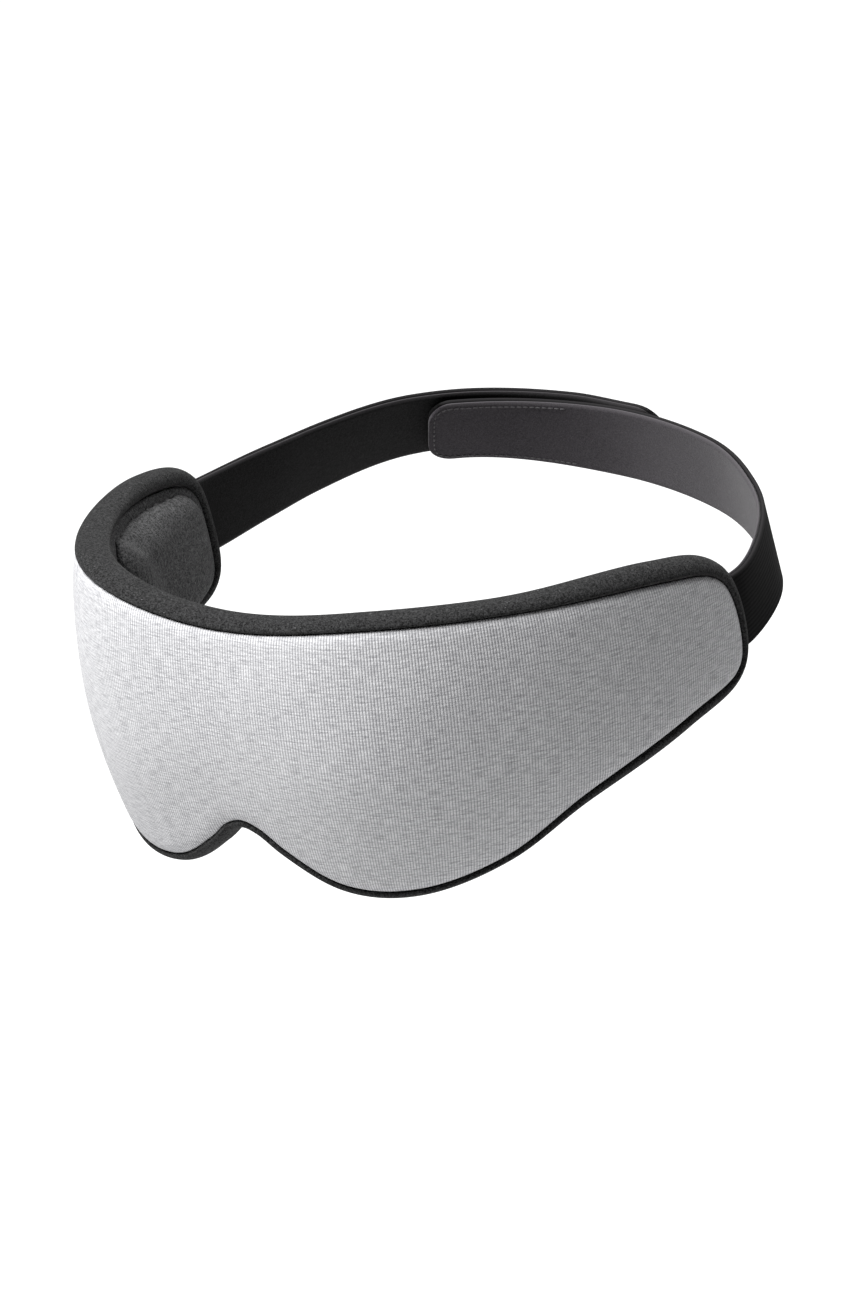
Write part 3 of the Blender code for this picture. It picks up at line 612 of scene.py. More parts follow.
def open_cell_foam():
    finish = Finish("open_cell_foam", 0.95, sheen=0.1, specular=0.15)
    voronoi = add_node(finish.tree, "ShaderNodeTexVoronoi", {"Vector": finish.space(), "Scale": 1.6})
    cells = voronoi.outputs["Distance"]
    wear = finish.use(WEAR, finish.space(), Patch=20.0)
    colour = finish.mix(to_range(finish.tree, cells, 0.1, 0.6), (0.12, 0.12, 0.125), (0.30, 0.30, 0.31))
    colour = finish.mix(finish.times(wear["Tone"], 0.3), colour, (0.24, 0.235, 0.23))
    roughness = to_range(finish.tree, cells, 0.0, 0.7, 0.98, 0.88)
    return finish.feed(colour, roughness, cells, bump=0.6, distance=0.4)


def pale_floor():
    finish = Finish("pale_floor", 0.9, specular=0.1)
    wear = finish.use(WEAR, finish.space(), Patch=900.0)
    colour = finish.mix(wear["Tone"], (0.62, 0.62, 0.62), (0.64, 0.64, 0.64))
    seen = add_node(finish.tree, "ShaderNodeLightPath").outputs["Is Camera Ray"]
    glow = finish.mix(seen, (0.0, 0.0, 0.0), (1.0, 1.0, 1.0))
    finish.tree.links.new(glow, finish.shader.inputs["Emission Color"])
    finish.shader.inputs["Emission Strength"].default_value = 0.4
    return finish.feed(colour)


LOOKS = {
    "heather_jersey": heather_jersey(),
    "band_cloth": dark_knit("band_cloth", (0.003, 0.003, 0.003), (0.064, 0.064, 0.065), 0.36),
    "dark_lining": dark_knit("dark_lining", (0.012, 0.012, 0.0125), (0.15, 0.15, 0.152), 0.42),
    "black_elastic": black_elastic(),
    "velour": pile_cloth("velour", (0.020, 0.0175, 0.0205), (0.062, 0.056, 0.063), 0.2, 0.4),
    "loop_pile": pile_cloth("loop_pile", (0.002, 0.002, 0.002), (0.014, 0.0135, 0.014), 0.3, 0.3),
    "hook_tape": hook_tape(),
    "thread": thread(),
    "blackout_film": light_proof_film(),
    "foam": open_cell_foam(),
}


# ---------------------------------------------------------------- meshes

def new_piece(name, points, faces, slot, marks=None):
    """One piece from points in millimetres; marks are the places on the cloth for its own map."""
    mesh = bpy.data.meshes.new(name)
    mesh.from_pydata((np.asarray(points) * MM).tolist(), [], faces)
    shape = bmesh.new()
    shape.from_mesh(mesh)
    bmesh.ops.recalc_face_normals(shape, faces=shape.faces)
    shape.to_mesh(mesh)
    shape.free()
    if marks is not None:
        corners = np.zeros(len(mesh.loops), dtype=np.int32)
        mesh.loops.foreach_get("vertex_index", corners)
        layer = mesh.uv_layers.new(name="cloth")
        layer.uv.foreach_set("vector", np.asarray(marks, dtype=np.float32)[corners].ravel())
    mesh.shade_smooth()
    return place_piece(name, mesh, slot)


def place_piece(name, mesh, slot):
    mesh.materials.clear()
    mesh.materials.append(LOOKS[slot])
    piece = bpy.data.objects.new(name, mesh)
    bpy.context.collection.objects.link(piece)
    return piece


def baked_mesh(piece):
    """What the piece looks like with its modifiers, as a mesh of its own."""
    view = bpy.context.evaluated_depsgraph_get()
    return bpy.data.meshes.new_from_object(piece.evaluated_get(view), depsgraph=view)


def ring_quads(first, second):
    count = len(first)
    return [(first[k], first[(k + 1) % count], second[(k + 1) % count], second[k]) for k in range(count)]


def add_panel(name, outer, inner, slot):
    """A cloth panel that fills the seam; outer and inner give the depth of its faces at (s, z, edge).
    edge is 0 over the panel and rises to 1 at the seam."""
    grid = panel_grid(-ROLL)
    index = np.arange(grid.shape[0] * grid.shape[1]).reshape(grid.shape[:2])
    places, edges = [grid.reshape(-1, 2)], [np.zeros(index.size)]
    rings = [[*index[:-1, 0], *index[-1, :-1], *index[:0:-1, -1], *index[0, :0:-1]]]
    corner = HALF_COLUMNS + ROWS + COLUMNS + ROWS
    for step in np.linspace(0.0, 1.0, ROLL_RINGS + 1)[1:]:
        share = sin(step * pi / 2)
        start = sum(len(p) for p in places)
        places.append(np.roll(moved_seam(-ROLL + (ROLL - SEAM_GAP) * share), -corner, axis=0))
        edges.append(np.full(len(SEAM), share))
        rings.append(list(range(start, start + len(SEAM))))
    place, edge = np.vstack(places), np.concatenate(edges)
    s, z = place.T
    points = np.vstack([mask_points(s, z, outer(s, z, edge)), mask_points(s, z, inner(s, z, edge))])
    size = len(place)
    a, b, c, d = (part.ravel() for part in (index[:-1, :-1], index[1:, :-1], index[1:, 1:], index[:-1, 1:]))
    faces = np.column_stack([a, d, c, b]).tolist()
    for near, far in zip(rings, rings[1:]):
        faces += ring_quads(near, far)
    faces += [[size + k for k in face[::-1]] for face in faces]
    faces += ring_quads(rings[-1], [size + k for k in rings[-1]])
    return new_piece(name, points, faces, slot, np.vstack([place, place]))


def rolled(edge, depth):
    """A quarter-round fall of the given depth from 0 to 1 of the way to the seam."""
    return depth * (1 - np.sqrt(np.maximum(1 - edge * edge, 0.0)))


def front_panel():
    fall = 0.95

    def outer(s, z, edge):
        return -0.1 + 0.12 * (1 - edge) * soft_waves(s, z, 31.0) + rolled(edge, fall)

    def inner(s, z, edge):
        return np.maximum(JERSEY, outer(s, z, edge) + 0.15)

    return add_panel("jersey_front", outer, inner, "heather_jersey")


def lining_panel():
    fall = 0.9

    def shape(s, z, edge):
        inside = foam_swell(s, z) - eye_hollow(s, z)
        return inside + 0.18 * (1 - edge) * soft_waves(s, z, 23.0)

    def outer(s, z, edge):
        return DEPTH - LINING + shape(s, z, edge)

    def inner(s, z, edge):
        return DEPTH + 0.05 + shape(s, z, edge) - rolled(edge, fall)

    return add_panel("brushed_lining", outer, inner, "dark_lining")


def band_sections():
    """The stuffed edge band's outer and inner lines: (out from the seam, depth), front to back."""
    half = DEPTH / 2
    front = [(0.10, 1.25), (0.22, 0.45), (0.75, -0.08), (1.55, 0.30), (2.20, 1.35), (2.50, 2.75),
             (BAND_OUT, half)]
    outline = front + [(out, DEPTH - depth) for out, depth in front[-2::-1]]
    outer = smooth_curve(outline, 3)
    turn = np.linspace(0.0, pi, len(outer))
    wide, deep = BAND_OUT - BAND_WALL - SEAM_GAP, half - 1.45
    inner = np.column_stack([SEAM_GAP + wide * np.sin(turn) ** 0.8, half - deep * np.cos(turn)])
    return outer, inner


def edge_band():
    """The band all round the mask, with a slot at each wing's end where the strap comes out."""
    outer, inner = band_sections()
    steps, count = len(outer), len(SEAM)
    along = SEAM_ALONG[:count]
    plump = 1 + 0.025 * np.sin(along / 9.0) * np.sin(along / 23.0 + 1.0)
    wing = eased((np.abs(SEAM[:, 0]) - BULGE_FROM) / (BULGE_TO - BULGE_FROM))
    wider = wing * WING_WIDER
    skins, marks = [], []
    for section in (outer, inner):
        round_it = arc_lengths(section)
        for (out, depth), across in zip(section, round_it):
            ring = moved_seam((out + out ** 2 * wider) * plump)
            skins.append(mask_points(ring[:, 0], ring[:, 1], np.full(count, depth)))
            marks.append(np.column_stack([along, np.full(count, across)]))
    in_slot = (np.abs(SEAM[:, 0]) > HALF_LENGTH - 2 * WING_END_SLANT) & (
        np.abs(SEAM[:, 1] - STRAP_HEIGHT) < STRAP_WIDTH / 2 + GAP)
    open_columns = in_slot & np.roll(in_slot, -1)
    middles = (outer[1:, 1] + outer[:-1, 1]) / 2
    open_rows = (middles > SLOT_FRONT) & (middles < SLOT_BACK) & ((outer[1:, 0] + outer[:-1, 0]) / 2 > 1.0)
    hole = open_rows[:, None] & open_columns[None, :]
    faces = []
    for i in range(steps - 1):
        for k in range(count):
            j = (k + 1) % count
            a, b, c, d = i * count + k, i * count + j, (i + 1) * count + j, (i + 1) * count + k
            under = steps * count
            if not hole[i, k]:
                faces += [(a, b, c, d), (under + d, under + c, under + b, under + a)]
                continue
            for closed, (p, q) in ((i == 0 or not hole[i - 1, k], (a, b)), (not hole[i + 1, k], (c, d)),
                                   (not hole[i, k - 1], (d, a)), (not hole[i, j], (b, c))):
                if closed:
                    faces.append((p, q, under + q, under + p))
    for i in (0, steps - 1):
        ring = [i * count + k for k in range(count)]
        faces += ring_quads(ring, [steps * count + k for k in ring])
    return new_piece("stuffed_edge_band", np.vstack(skins), faces, "band_cloth", np.vstack(marks))


# ---------------------------------------------------------------- temple pads

def pad_loop(amount):
    """A temple pad's outline on the left wing, moved outwards by amount."""
    front = PAD_FROM - amount
    wing = moved_seam(amount - PAD_MARGIN)[:COLUMNS + ROWS + 1]
    wing = wing[wing[:, 0] > front + PAD_CORNER]
    loop = np.vstack([wing, [(front, wing[-1][1] + PAD_CORNER), (front, wing[0][1] - PAD_CORNER)]])
    return resample(np.vstack([loop, loop[:1]]), PAD_SIDES)[:-1]


def pad_valley(s, z):
    """Share of a pad's height taken by the soft fold across it, at a place from its middle."""
    return VALLEY_DEPTH * np.exp(-((s + VALLEY_SLANT * z + VALLEY_AT) / VALLEY_WIDTH) ** 2)


def pad_shell(word, side, inset, height):
    """The closed pad: a base on the lining and a crowned top."""
    loop = pad_loop(-inset)
    centre = (loop.max(axis=0) + loop.min(axis=0)) / 2
    points = []
    for lift in (0.0, height):
        for ring in np.linspace(1.0, 0.0, PAD_RINGS + 1)[:-1]:
            s, z = (centre + (loop - centre) * ring).T
            crown = lift * (1 - ring ** 2.8) ** 0.55 * (1 - pad_valley(s - centre[0], z - centre[1]))
            points.append(mask_points(side * s, z, PAD_BASE + foam_swell(s, z) + crown))
        s, z = centre
        top = PAD_BASE + foam_swell(s, z) + lift * (1 - pad_valley(0.0, 0.0))
        points.append(mask_points(np.array([side * s]), np.array([z]), top))
    size = PAD_SIDES * PAD_RINGS + 1
    rings = [list(range(r * PAD_SIDES, (r + 1) * PAD_SIDES)) for r in range(PAD_RINGS)]
    faces = []
    for near, far in zip(rings, rings[1:]):
        faces += ring_quads(near, far)
    faces += [(rings[-1][k], rings[-1][(k + 1) % PAD_SIDES], size - 1) for k in range(PAD_SIDES)]
    faces += [tuple(size + k for k in face[::-1]) for face in faces]
    faces += ring_quads(rings[0], [size + k for k in rings[0]])
    return new_piece(word + "_temple_pad", np.vstack(points), faces, "dark_lining")


def puff(piece, voxel, pressure, cap):
    """Blow the pad up as cloth, but move no point further than cap, and leave no modifier on it."""
    remesh = piece.modifiers.new("even", "REMESH")
    remesh.mode = "VOXEL"
    remesh.voxel_size = voxel * MM
    piece.data = baked_mesh(piece)
    piece.modifiers.clear()
    start = np.array([v.co for v in piece.data.vertices])
    cloth = piece.modifiers.new("cloth", "CLOTH")
    cloth.settings.use_pressure = True
    cloth.settings.uniform_pressure_force = pressure
    cloth.settings.effector_weights.gravity = 0.0
    cloth.settings.tension_stiffness = cloth.settings.compression_stiffness = 8.0
    cloth.settings.bending_stiffness = 0.4
    for step in range(1, 21):
        bpy.context.scene.frame_set(step)
    blown = baked_mesh(piece)
    piece.modifiers.clear()
    bpy.context.scene.frame_set(1)
    moved = np.array([v.co for v in blown.vertices]) - start
    length = np.linalg.norm(moved, axis=1)[:, None]
    moved *= np.minimum(1.0, cap * MM / np.maximum(length, 1e-9))
    piece.data.vertices.foreach_set("co", (start + moved).ravel())
    smooth = piece.modifiers.new("smooth", "SMOOTH")
    smooth.iterations = 3
    finer = piece.modifiers.new("finer", "SUBSURF")
    finer.levels = finer.render_levels = 1
    piece.data = baked_mesh(piece)
    piece.modifiers.clear()
    piece.data.materials.clear()
    piece.data.materials.append(LOOKS["dark_lining"])
    piece.data.shade_smooth()
    return piece


# ---------------------------------------------------------------- straps

def strap_table():
    """The middle line of the strap, from inside the left wing round to inside the right, with its lean."""
    fold_x, fold_y, _ = flat_points(HINGE_AT, 0.0, ANCHOR_MIDDLE)
    first, reach = atan2(fold_y, fold_x), hypot(fold_x, fold_y)
    loop = []
    for share, far, rise, lean in STRAP_LOOP:
        angle = first + share * (pi - 2 * first)
        loop.append((far * reach * cos(angle), far * reach * sin(angle), STRAP_HEIGHT + rise, lean))
    left = [(*flat_points(s, 0.0, ANCHOR_MIDDLE), 0.0) for s in (HINGE_AT - ANCHOR_LENGTH, HINGE_AT)]
    right = [(*flat_points(-s, 0.0, ANCHOR_MIDDLE), 0.0) for s in (HINGE_AT, HINGE_AT - ANCHOR_LENGTH)]
    per_span = 20
    line = smooth_curve(left + loop + right, per_span)
    heading = np.unwrap(np.arctan2(np.gradient(line[:, 1]), np.gradient(line[:, 0])))
    along = arc_lengths(line[:, :3])
    return along - along[per_span], np.column_stack([line, heading]), along[-per_span - 1] - along[per_span]


STRAP_ALONG, STRAP_LINE, LOOP_LENGTH = strap_table()
STRAP_ANGLE = np.unwrap(np.arctan2(STRAP_LINE[:, 1], STRAP_LINE[:, 0]))
FIRST_ANGLE, LAST_ANGLE = np.interp([0.0, LOOP_LENGTH], STRAP_ALONG, STRAP_ANGLE)
TAB_END = float(np.interp(FIRST_ANGLE + TAB_END_SHARE * (LAST_ANGLE - FIRST_ANGLE), STRAP_ANGLE, STRAP_ALONG))
TAB_FOLD = TAB_END - TAB_LENGTH


def strap_points(along, across, out):
    """World places of points of the strap: along its length, up across it, and out from its middle."""
    x, y, z, lean, heading = [np.interp(along, STRAP_ALONG, column) for column in STRAP_LINE.T]
    lean = np.radians(lean)
    none = np.zeros_like(x)
    outwards = np.stack([np.sin(heading), -np.cos(heading), none], -1)
    up = np.stack([none, none, none + 1.0], -1)
    across_way = np.cos(lean)[..., None] * up - np.sin(lean)[..., None] * outwards
    out_way = np.cos(lean)[..., None] * outwards + np.sin(lean)[..., None] * up
    across, out = np.asarray(across)[..., None], np.asarray(out)[..., None]
    return np.stack([x, y, z], -1) + across_way * across + out_way * out


def behind_tab(along):
    """How far the right strap stands out at a place, to pass behind the tab and its hooks."""
    passing = eased((TAB_END + 3.0 + SETTLE_LENGTH - along) / SETTLE_LENGTH)
    return PASS_BEHIND * passing - COME_BACK * eased((TAB_FOLD - along) / CLOSE_LENGTH)


def layer_section(inner, outer, cells, ribs):
    """A strap layer's closed section: (share of the half width, out), soft at its edges, ribbed outside."""
    across = np.linspace(1.0, -1.0, cells + 1)
    middle, half = (inner + outer) / 2, (outer - inner) / 2
    soft = np.minimum((1 - np.abs(across)) * STRAP_WIDTH / 2 / half, 1.0)
    round_off = half * np.sqrt(np.maximum(1 - (1 - soft) ** 2, 0.0))
    rib = ribs * (np.abs(np.sin(pi * across * STRAP_WIDTH / 2 / RIB)) - 1) * soft
    top = np.column_stack([across, middle + np.maximum(round_off, 0.25 * half) + rib])
    bottom = np.column_stack([across, middle - np.maximum(round_off, 0.25 * half)])[::-1]
    return np.vstack([top, bottom])


def spaced(start, end, corners):
    """Places along a strap, closer together where an end is rounded."""
    turn = 1 - np.cos(np.radians(np.linspace(20.0, 90.0, 10)))
    ends = [np.array([0.0, 0.12, 0.35]) if not corner else np.concatenate([[0.0, 0.06, 0.18], corner * turn])
            for corner in corners]
    first, last = start + ends[0], (end - ends[1])[::-1]
    cells = max(int((last[0] - first[-1]) / STRAP_STEP), 1)
    return np.concatenate([first, np.linspace(first[-1], last[0], cells + 1)[1:-1], last])


def add_layer(name, slot, start, end, section, corners=(0.0, 0.0), margin=0.0, shift=None,
              soft_ends=(False, False)):
    """One layer of a strap with a closed section; soft ends thin out over their last part of a millimetre."""
    along = spaced(start, end, corners)
    half = np.full(len(along), STRAP_WIDTH / 2 - margin)
    thick = np.ones(len(along))
    for corner, soft, away in zip(corners, soft_ends, (along - start, end - along)):
        if corner:
            half -= corner - np.sqrt(corner ** 2 - np.maximum(corner - away, 0.0) ** 2)
        if soft:
            thick *= np.interp(away, [0.0, 0.1, 0.4], [0.4, 0.8, 1.0])
    middle = section[:, 1].mean()
    out = middle + (section[:, 1] - middle) * thick[:, None]
    if shift is not None:
        out = out + shift(along)[:, None]
    across = section[:, 0] * half[:, None]
    grid_along = np.repeat(along[:, None], len(section), axis=1)
    points = strap_points(grid_along, across, out).reshape(-1, 3)
    count = len(section)
    rings = [list(range(r * count, (r + 1) * count)) for r in range(len(along))]
    faces = []
    for near, far in zip(rings, rings[1:]):
        faces += ring_quads(near, far)
    pairs = count // 2
    for ring in (rings[0], rings[-1]):
        faces += [(ring[k], ring[k + 1], ring[count - 2 - k], ring[count - 1 - k]) for k in range(pairs - 1)]
    marks = np.column_stack([grid_along.ravel(), across.ravel()])
    piece = new_piece(name, points, faces, slot, marks)
    piece.data.set_sharp_from_angle(angle=radians(50.0))
    return piece


ELASTIC_SECTION = layer_section(ELASTIC_INNER, ELASTIC_OUTER, 72, RIB_DEPTH)
PILE_SECTION = layer_section(PILE_INNER, PILE_OUTER, 28, 0.0)


def declare_strap(piece, length, bodies, around, before, after, *nodes):
    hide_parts(*nodes)
    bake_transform(piece)


def left_strap():
    start, end = -ANCHOR_LENGTH + 1.0, TAB_FOLD - TAB_ROOT
    elastic = add_layer("left_woven_elastic", "black_elastic", start, end, ELASTIC_SECTION)
    declare_strap(elastic, end - start, ("mask", "left_strap"), 0.0, 2.0, 7.0,
                  "left_strap_anchor", "left_strap_elastic")
    velour = add_layer("left_inner_velour", "velour", start, end, PILE_SECTION)
    declare_strap(velour, end - start, ("mask", "left_strap"), 0.0, 2.0, 7.0,
                  "left_strap_anchor", "left_strap_velour")


def tab():
    start = TAB_FOLD - TAB_ROOT
    for name, slot, section, nodes in (
            ("tab_woven_elastic", "black_elastic", ELASTIC_SECTION, ("tab_elastic", "left_strap_elastic")),
            ("tab_inner_velour", "velour", PILE_SECTION, ("tab_velour", "left_strap_velour"))):
        piece = add_layer(name, slot, start, TAB_END, section, corners=(0.0, TAB_CORNER),
                          soft_ends=(False, True))
        declare_strap(piece, TAB_LENGTH + TAB_ROOT, ("left_strap", "tab"), TAB_FOLD, 6.0, 2.0, *nodes)


def right_strap():
    start, end = TAB_END - OVERLAP, LOOP_LENGTH + ANCHOR_LENGTH - 1.0
    for name, slot, section, node in (
            ("right_woven_elastic", "black_elastic", ELASTIC_SECTION, "right_strap_elastic"),
            ("right_inner_pile", "loop_pile", PILE_SECTION, "right_strap_loop_pile")):
        piece = add_layer(name, slot, start, end, section, corners=(HIDDEN_CORNER, 0.0), shift=behind_tab,
                          soft_ends=(True, False))
        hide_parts(node, "right_strap_anchor")
        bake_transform(piece)


# ---------------------------------------------------------------- repeated small pieces

def nodes_modifier(name, build, inputs):
    """A Geometry Nodes tree with named sizes; build gets the tree and its inputs, and returns a geometry."""
    tree = bpy.data.node_groups.new(name, "GeometryNodeTree")
    tree.interface.new_socket("Geometry", in_out="INPUT", socket_type="NodeSocketGeometry")
    for label, value in inputs.items():
        kind = "NodeSocketMaterial" if isinstance(value, bpy.types.Material) else "NodeSocketFloat"
        tree.interface.new_socket(label, in_out="INPUT", socket_type=kind)
    tree.interface.new_socket("Geometry", in_out="OUTPUT", socket_type="NodeSocketGeometry")
    given = add_node(tree, "NodeGroupInput").outputs
    instances = build(tree, given)
    real = add_node(tree, "GeometryNodeRealizeInstances", {0: instances}).outputs[0]
    smooth = add_node(tree, "GeometryNodeSetShadeSmooth", {"Geometry": real}).outputs[0]
    done = add_node(tree, "GeometryNodeSetMaterial", {"Geometry": smooth, "Material": given["Material"]})
    tree.links.new(done.outputs[0], add_node(tree, "NodeGroupOutput").inputs[0])
    return tree


def made_by(tree, carrier, inputs, name, slot):
    """Run the tree on the carrier mesh and return its result as a plain piece."""
    step = carrier.modifiers.new("nodes", "NODES")
    step.node_group = tree
    for item in tree.interface.items_tree:
        if item.in_out == "INPUT" and item.name in inputs:
            step[item.identifier] = inputs[item.name]
    mesh = baked_mesh(carrier)
    bpy.data.objects.remove(carrier)
    return place_piece(name, mesh, slot)


def stitch_row(tree, given):
    """Short plump stitches, one after another along a line."""
    curve = add_node(tree, "GeometryNodeMeshToCurve", {0: given["Geometry"]}).outputs[0]
    dots = add_node(tree, "GeometryNodeResampleCurve", {"Curve": curve, "Length": given["Pitch"]},
                    mode="LENGTH")
    ball = add_node(tree, "GeometryNodeMeshUVSphere", {"Segments": 8, "Rings": 6, "Radius": 1.0}).outputs[0]
    thick = given["Half thickness"]
    size = add_node(tree, "ShaderNodeCombineXYZ", {0: given["Half length"], 1: thick, 2: thick}).outputs[0]
    stitch = add_node(tree, "GeometryNodeTransform", {"Geometry": ball, "Scale": size}).outputs[0]
    tangent = add_node(tree, "GeometryNodeInputTangent").outputs[0]
    turn = add_node(tree, "FunctionNodeAlignRotationToVector", {"Vector": tangent}, axis="X").outputs[0]
    return add_node(tree, "GeometryNodeInstanceOnPoints",
                    {"Points": dots.outputs[0], "Instance": stitch, "Rotation": turn}).outputs[0]


def hook_field(tree, given):
    """A small bent hook on every point of a sheet, standing along the sheet's normal."""
    bend = {"Resolution": 5, "Start": (0, 0, 0), "Middle": (0, 0, 1.6), "End": (1.0, 0, 0.55)}
    stem = add_node(tree, "GeometryNodeCurveQuadraticBezier", bend).outputs[0]
    outline = add_node(tree, "GeometryNodeCurvePrimitiveCircle", {"Resolution": 4, "Radius": 0.22}).outputs[0]
    hook = add_node(tree, "GeometryNodeCurveToMesh",
                    {"Curve": stem, "Profile Curve": outline, "Fill Caps": True}).outputs[0]
    size = add_node(tree, "ShaderNodeCombineXYZ",
                    {0: given["Height"], 1: given["Height"], 2: given["Height"]}).outputs[0]
    small = add_node(tree, "GeometryNodeTransform", {"Geometry": hook, "Scale": size}).outputs[0]
    normal = add_node(tree, "GeometryNodeInputNormal").outputs[0]
    turn = add_node(tree, "FunctionNodeAlignRotationToVector", {"Vector": normal}, axis="Z").outputs[0]
    return add_node(tree, "GeometryNodeInstanceOnPoints",
                    {"Points": given["Geometry"], "Instance": small, "Rotation": turn}).outputs[0]


def line_carrier(name, points, closed=False):
    mesh = bpy.data.meshes.new(name)
    count = len(points)
    edges = [(k, (k + 1) % count) for k in range(count if closed else count - 1)]
    mesh.from_pydata((np.asarray(points) * MM).tolist(), edges, [])
    carrier = bpy.data.objects.new(name, mesh)
    bpy.context.collection.objects.link(carrier)
    return carrier


STITCHES = nodes_modifier("row_of_stitches", stitch_row, {
    "Pitch": 0.0, "Half length": 0.0, "Half thickness": 0.0, "Material": LOOKS["thread"]})
HOOKS = nodes_modifier("field_of_hooks", hook_field, {"Height": 0.0, "Material": LOOKS["hook_tape"]})


def stitches(name, points, pitch, thickness, closed=False):
    sizes = {"Pitch": pitch * MM, "Half length": 0.40 * pitch * MM, "Half thickness": thickness / 2 * MM,
             "Material": LOOKS["thread"]}
    return made_by(STITCHES, line_carrier(name + "_line", points, closed), sizes, name, "thread")


def rounded_line(corners, radius):
    """A line through the corners with each inner corner rounded to the radius."""
    corners = np.array(corners, dtype=float)
    line = [corners[:1]]
    for before, corner, after in zip(corners, corners[1:], corners[2:]):
        came = (before - corner) / np.linalg.norm(before - corner)
        goes = (after - corner) / np.linalg.norm(after - corner)
        t = np.linspace(0.0, 1.0, 9)[:, None]
        line.append(corner + radius * ((1 - t) ** 2 * came + t ** 2 * goes))
    line = np.vstack([*line, corners[-1:]])
    return resample(line, int(arc_lengths(line)[-1]))


def tab_border():
    """The line of stitches round the tab's inner face."""
    half = STRAP_WIDTH / 2 - BORDER_MARGIN
    root, end = TAB_FOLD + BORDER_MARGIN, TAB_END - BORDER_MARGIN
    line = rounded_line([(root, half), (end, half), (end, -half), (root, -half)], TAB_CORNER - BORDER_MARGIN)
    points = strap_points(line[:, 0], line[:, 1], np.full(len(line), PILE_INNER - 0.05))
    row = stitches("tab_border_stitches", points, 1.5, 0.34)
    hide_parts("tab_border_stitching")
    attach(row, "tab")


def hook_patch():
    """The hook tape's base, and the field of hooks on it."""
    start, end = TAB_FOLD + HOOK_MARGIN, TAB_END - HOOK_MARGIN
    corner = TAB_CORNER - HOOK_MARGIN
    section = layer_section(ELASTIC_OUTER + 0.03, HOOK_BASE, 20, 0.0)
    base = add_layer("hook_tape_base", "hook_tape", start, end, section, corners=(corner, corner),
                     margin=HOOK_MARGIN, soft_ends=(True, True))
    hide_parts("tab_hook_patch")
    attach(base, "tab")
    pitch, rim = 0.85, 1.0
    half = STRAP_WIDTH / 2 - HOOK_MARGIN - rim
    along = np.arange(start + rim, end - rim, pitch)
    across = np.arange(-half, half, pitch)
    grid_along, grid_across = np.meshgrid(along, across, indexing="ij")
    points = strap_points(grid_along, grid_across, np.full(grid_along.shape, HOOK_BASE - 0.03)).reshape(-1, 3)
    index = np.arange(grid_along.size).reshape(grid_along.shape)
    square = (index[:-1, :-1], index[:-1, 1:], index[1:, 1:], index[1:, :-1])
    quads = np.column_stack([part.ravel() for part in square])
    mesh = bpy.data.meshes.new("hook_places")
    mesh.from_pydata((points * MM).tolist(), [], quads.tolist())
    sheet = bpy.data.objects.new("hook_places", mesh)
    bpy.context.collection.objects.link(sheet)
    outwards = strap_points(np.array(start), np.array(0.0), np.array(1.0)) - strap_points(
        np.array(start), np.array(0.0), np.array(0.0))
    if np.dot(np.array(mesh.polygons[0].normal), outwards) < 0:
        mesh.flip_normals()
    sizes = {"Height": 0.45 * MM, "Material": LOOKS["hook_tape"]}
    hooks = made_by(HOOKS, sheet, sizes, "tape_hooks", "hook_tape")
    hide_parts("tab_hook_patch")
    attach(hooks, "tab")


# ---------------------------------------------------------------- the object


def dress_mask():
    jersey, lining, band = front_panel(), lining_panel(), edge_band()
    for piece, node in ((jersey, "front_jersey"), (lining, "face_lining"), (band, "edge_band")):
        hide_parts(node)
        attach(piece, "mask")
    for word, side in (("left", 1), ("right", -1)):
        pad = puff(pad_shell(word, side, 0.3, PAD_HEIGHT), 1.1, 4.0, 1.0)
        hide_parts(word + "_temple_cover", word + "_temple_foam")
        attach(pad, "mask")


def finish_carried_nodes():
    """A made finish on each solid that stays in sight of the maker: film, foam and sewing thread."""
    slots = {row["node"]: row["material_slot"] for row in frame["record"]["subparts"]}
    for name, piece in frame["nodes"].items():
        piece.data.materials.clear()
        piece.data.materials.append(LOOKS[slots[name]])


# ---------------------------------------------------------------- stage

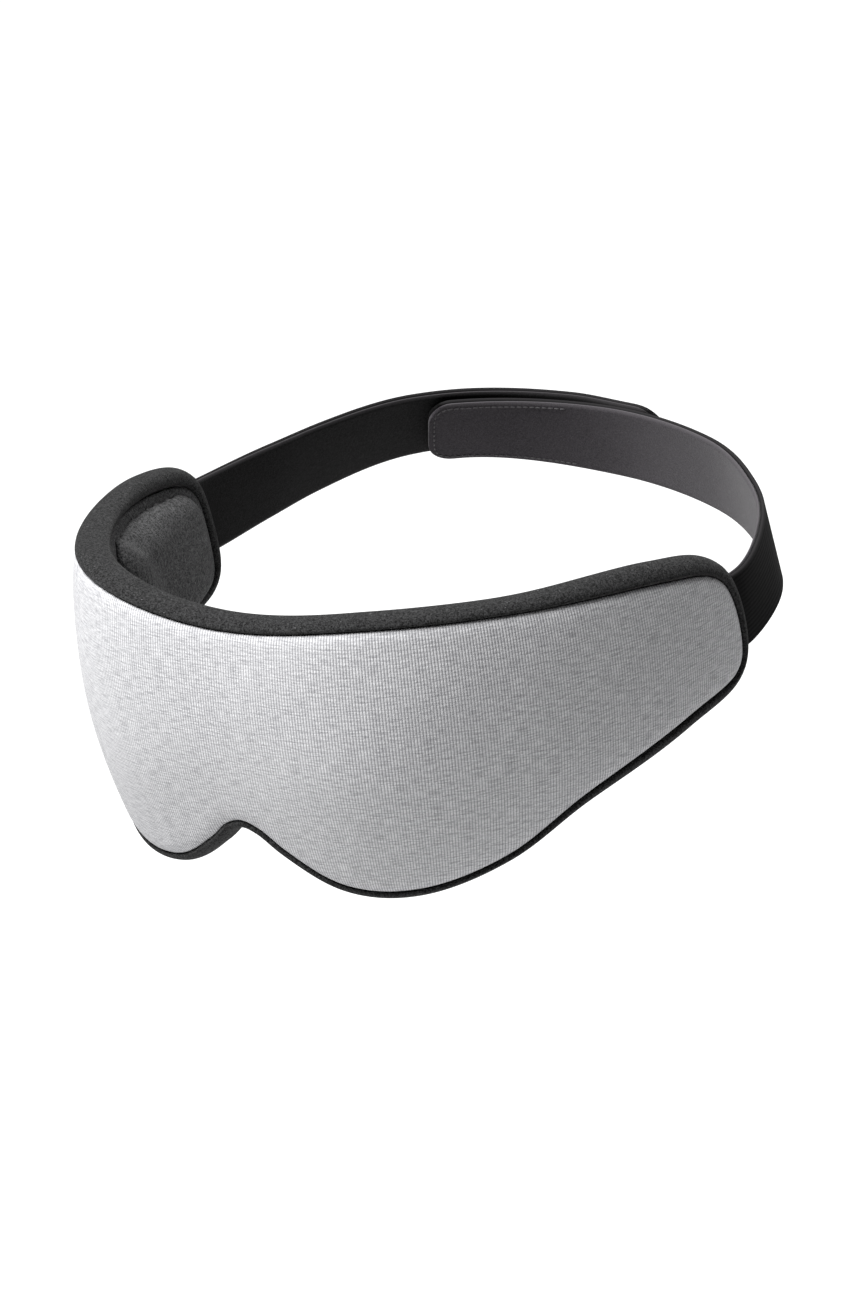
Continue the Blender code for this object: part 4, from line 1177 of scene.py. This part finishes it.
def add_floor(low):
    size, below = 9.0, 0.16
    mesh = bpy.data.meshes.new("floor")
    corners = [(-size, -size), (size, -size), (size, size), (-size, size)]
    mesh.from_pydata([(x, y, low - below) for x, y in corners], [], [(0, 1, 2, 3)])
    mesh.materials.append(pale_floor())
    floor = bpy.data.objects.new("floor", mesh)
    bpy.context.collection.objects.link(floor)


def view_axes(azimuth, elevation, roll):
    """Right, up and back of a camera that looks down at an azimuth from the front."""
    a, e, r = radians(azimuth), radians(elevation), radians(roll)
    back = Vector((sin(a) * cos(e), -cos(a) * cos(e), sin(e)))
    level = Vector((cos(a), sin(a), 0.0))
    upright = back.cross(level)
    return cos(r) * level + sin(r) * upright, cos(r) * upright - sin(r) * level, back


def add_camera():
    target = Vector((39.17, -71.19, 21.98)) * MM
    distance = 2256.5 * MM
    right, up, back = view_axes(38.27, 21.55, -6.10)
    data = bpy.data.cameras.new("camera")
    data.lens, data.sensor_width = 278.95, 36.0
    data.clip_end = 50.0
    camera = bpy.data.objects.new("camera", data)
    turn = Matrix((right, up, back)).transposed().to_4x4()
    camera.matrix_world = Matrix.Translation(target + back * distance) @ turn
    bpy.context.collection.objects.link(camera)
    bpy.context.scene.camera = camera
    return target, right, up, back


def add_light(name, target, place, size, power):
    data = bpy.data.lights.new(name, "AREA")
    data.shape, data.size, data.energy = "SQUARE", size, power
    light = bpy.data.objects.new(name, data)
    light.location = target + place
    light.rotation_euler = (-place).to_track_quat("-Z", "Y").to_euler()
    bpy.context.collection.objects.link(light)


def set_stage():
    bpy.context.scene.view_settings.view_transform = "Standard"
    add_floor(cad_box[0][2])
    target, right, up, back = add_camera()
    add_light("key", target, -right * 1.0 + up * 1.5 + back * 0.9, 1.0, 80.0)
    add_light("rim", target, right * 0.8 + up * 1.1 - back * 0.9, 0.8, 10.0)
    world = bpy.data.worlds.new("studio")
    world.use_nodes = True
    seen = add_node(world.node_tree, "ShaderNodeLightPath").outputs["Is Camera Ray"]
    shade = to_range(world.node_tree, seen, 0.0, 1.0, 0.56, 1.0)
    world.node_tree.links.new(shade, world.node_tree.nodes["Background"].inputs["Strength"])
    bpy.context.scene.world = world


set_stage()
finish_carried_nodes()
dress_mask()
left_strap()
tab()
right_strap()
tab_border()
hook_patch()
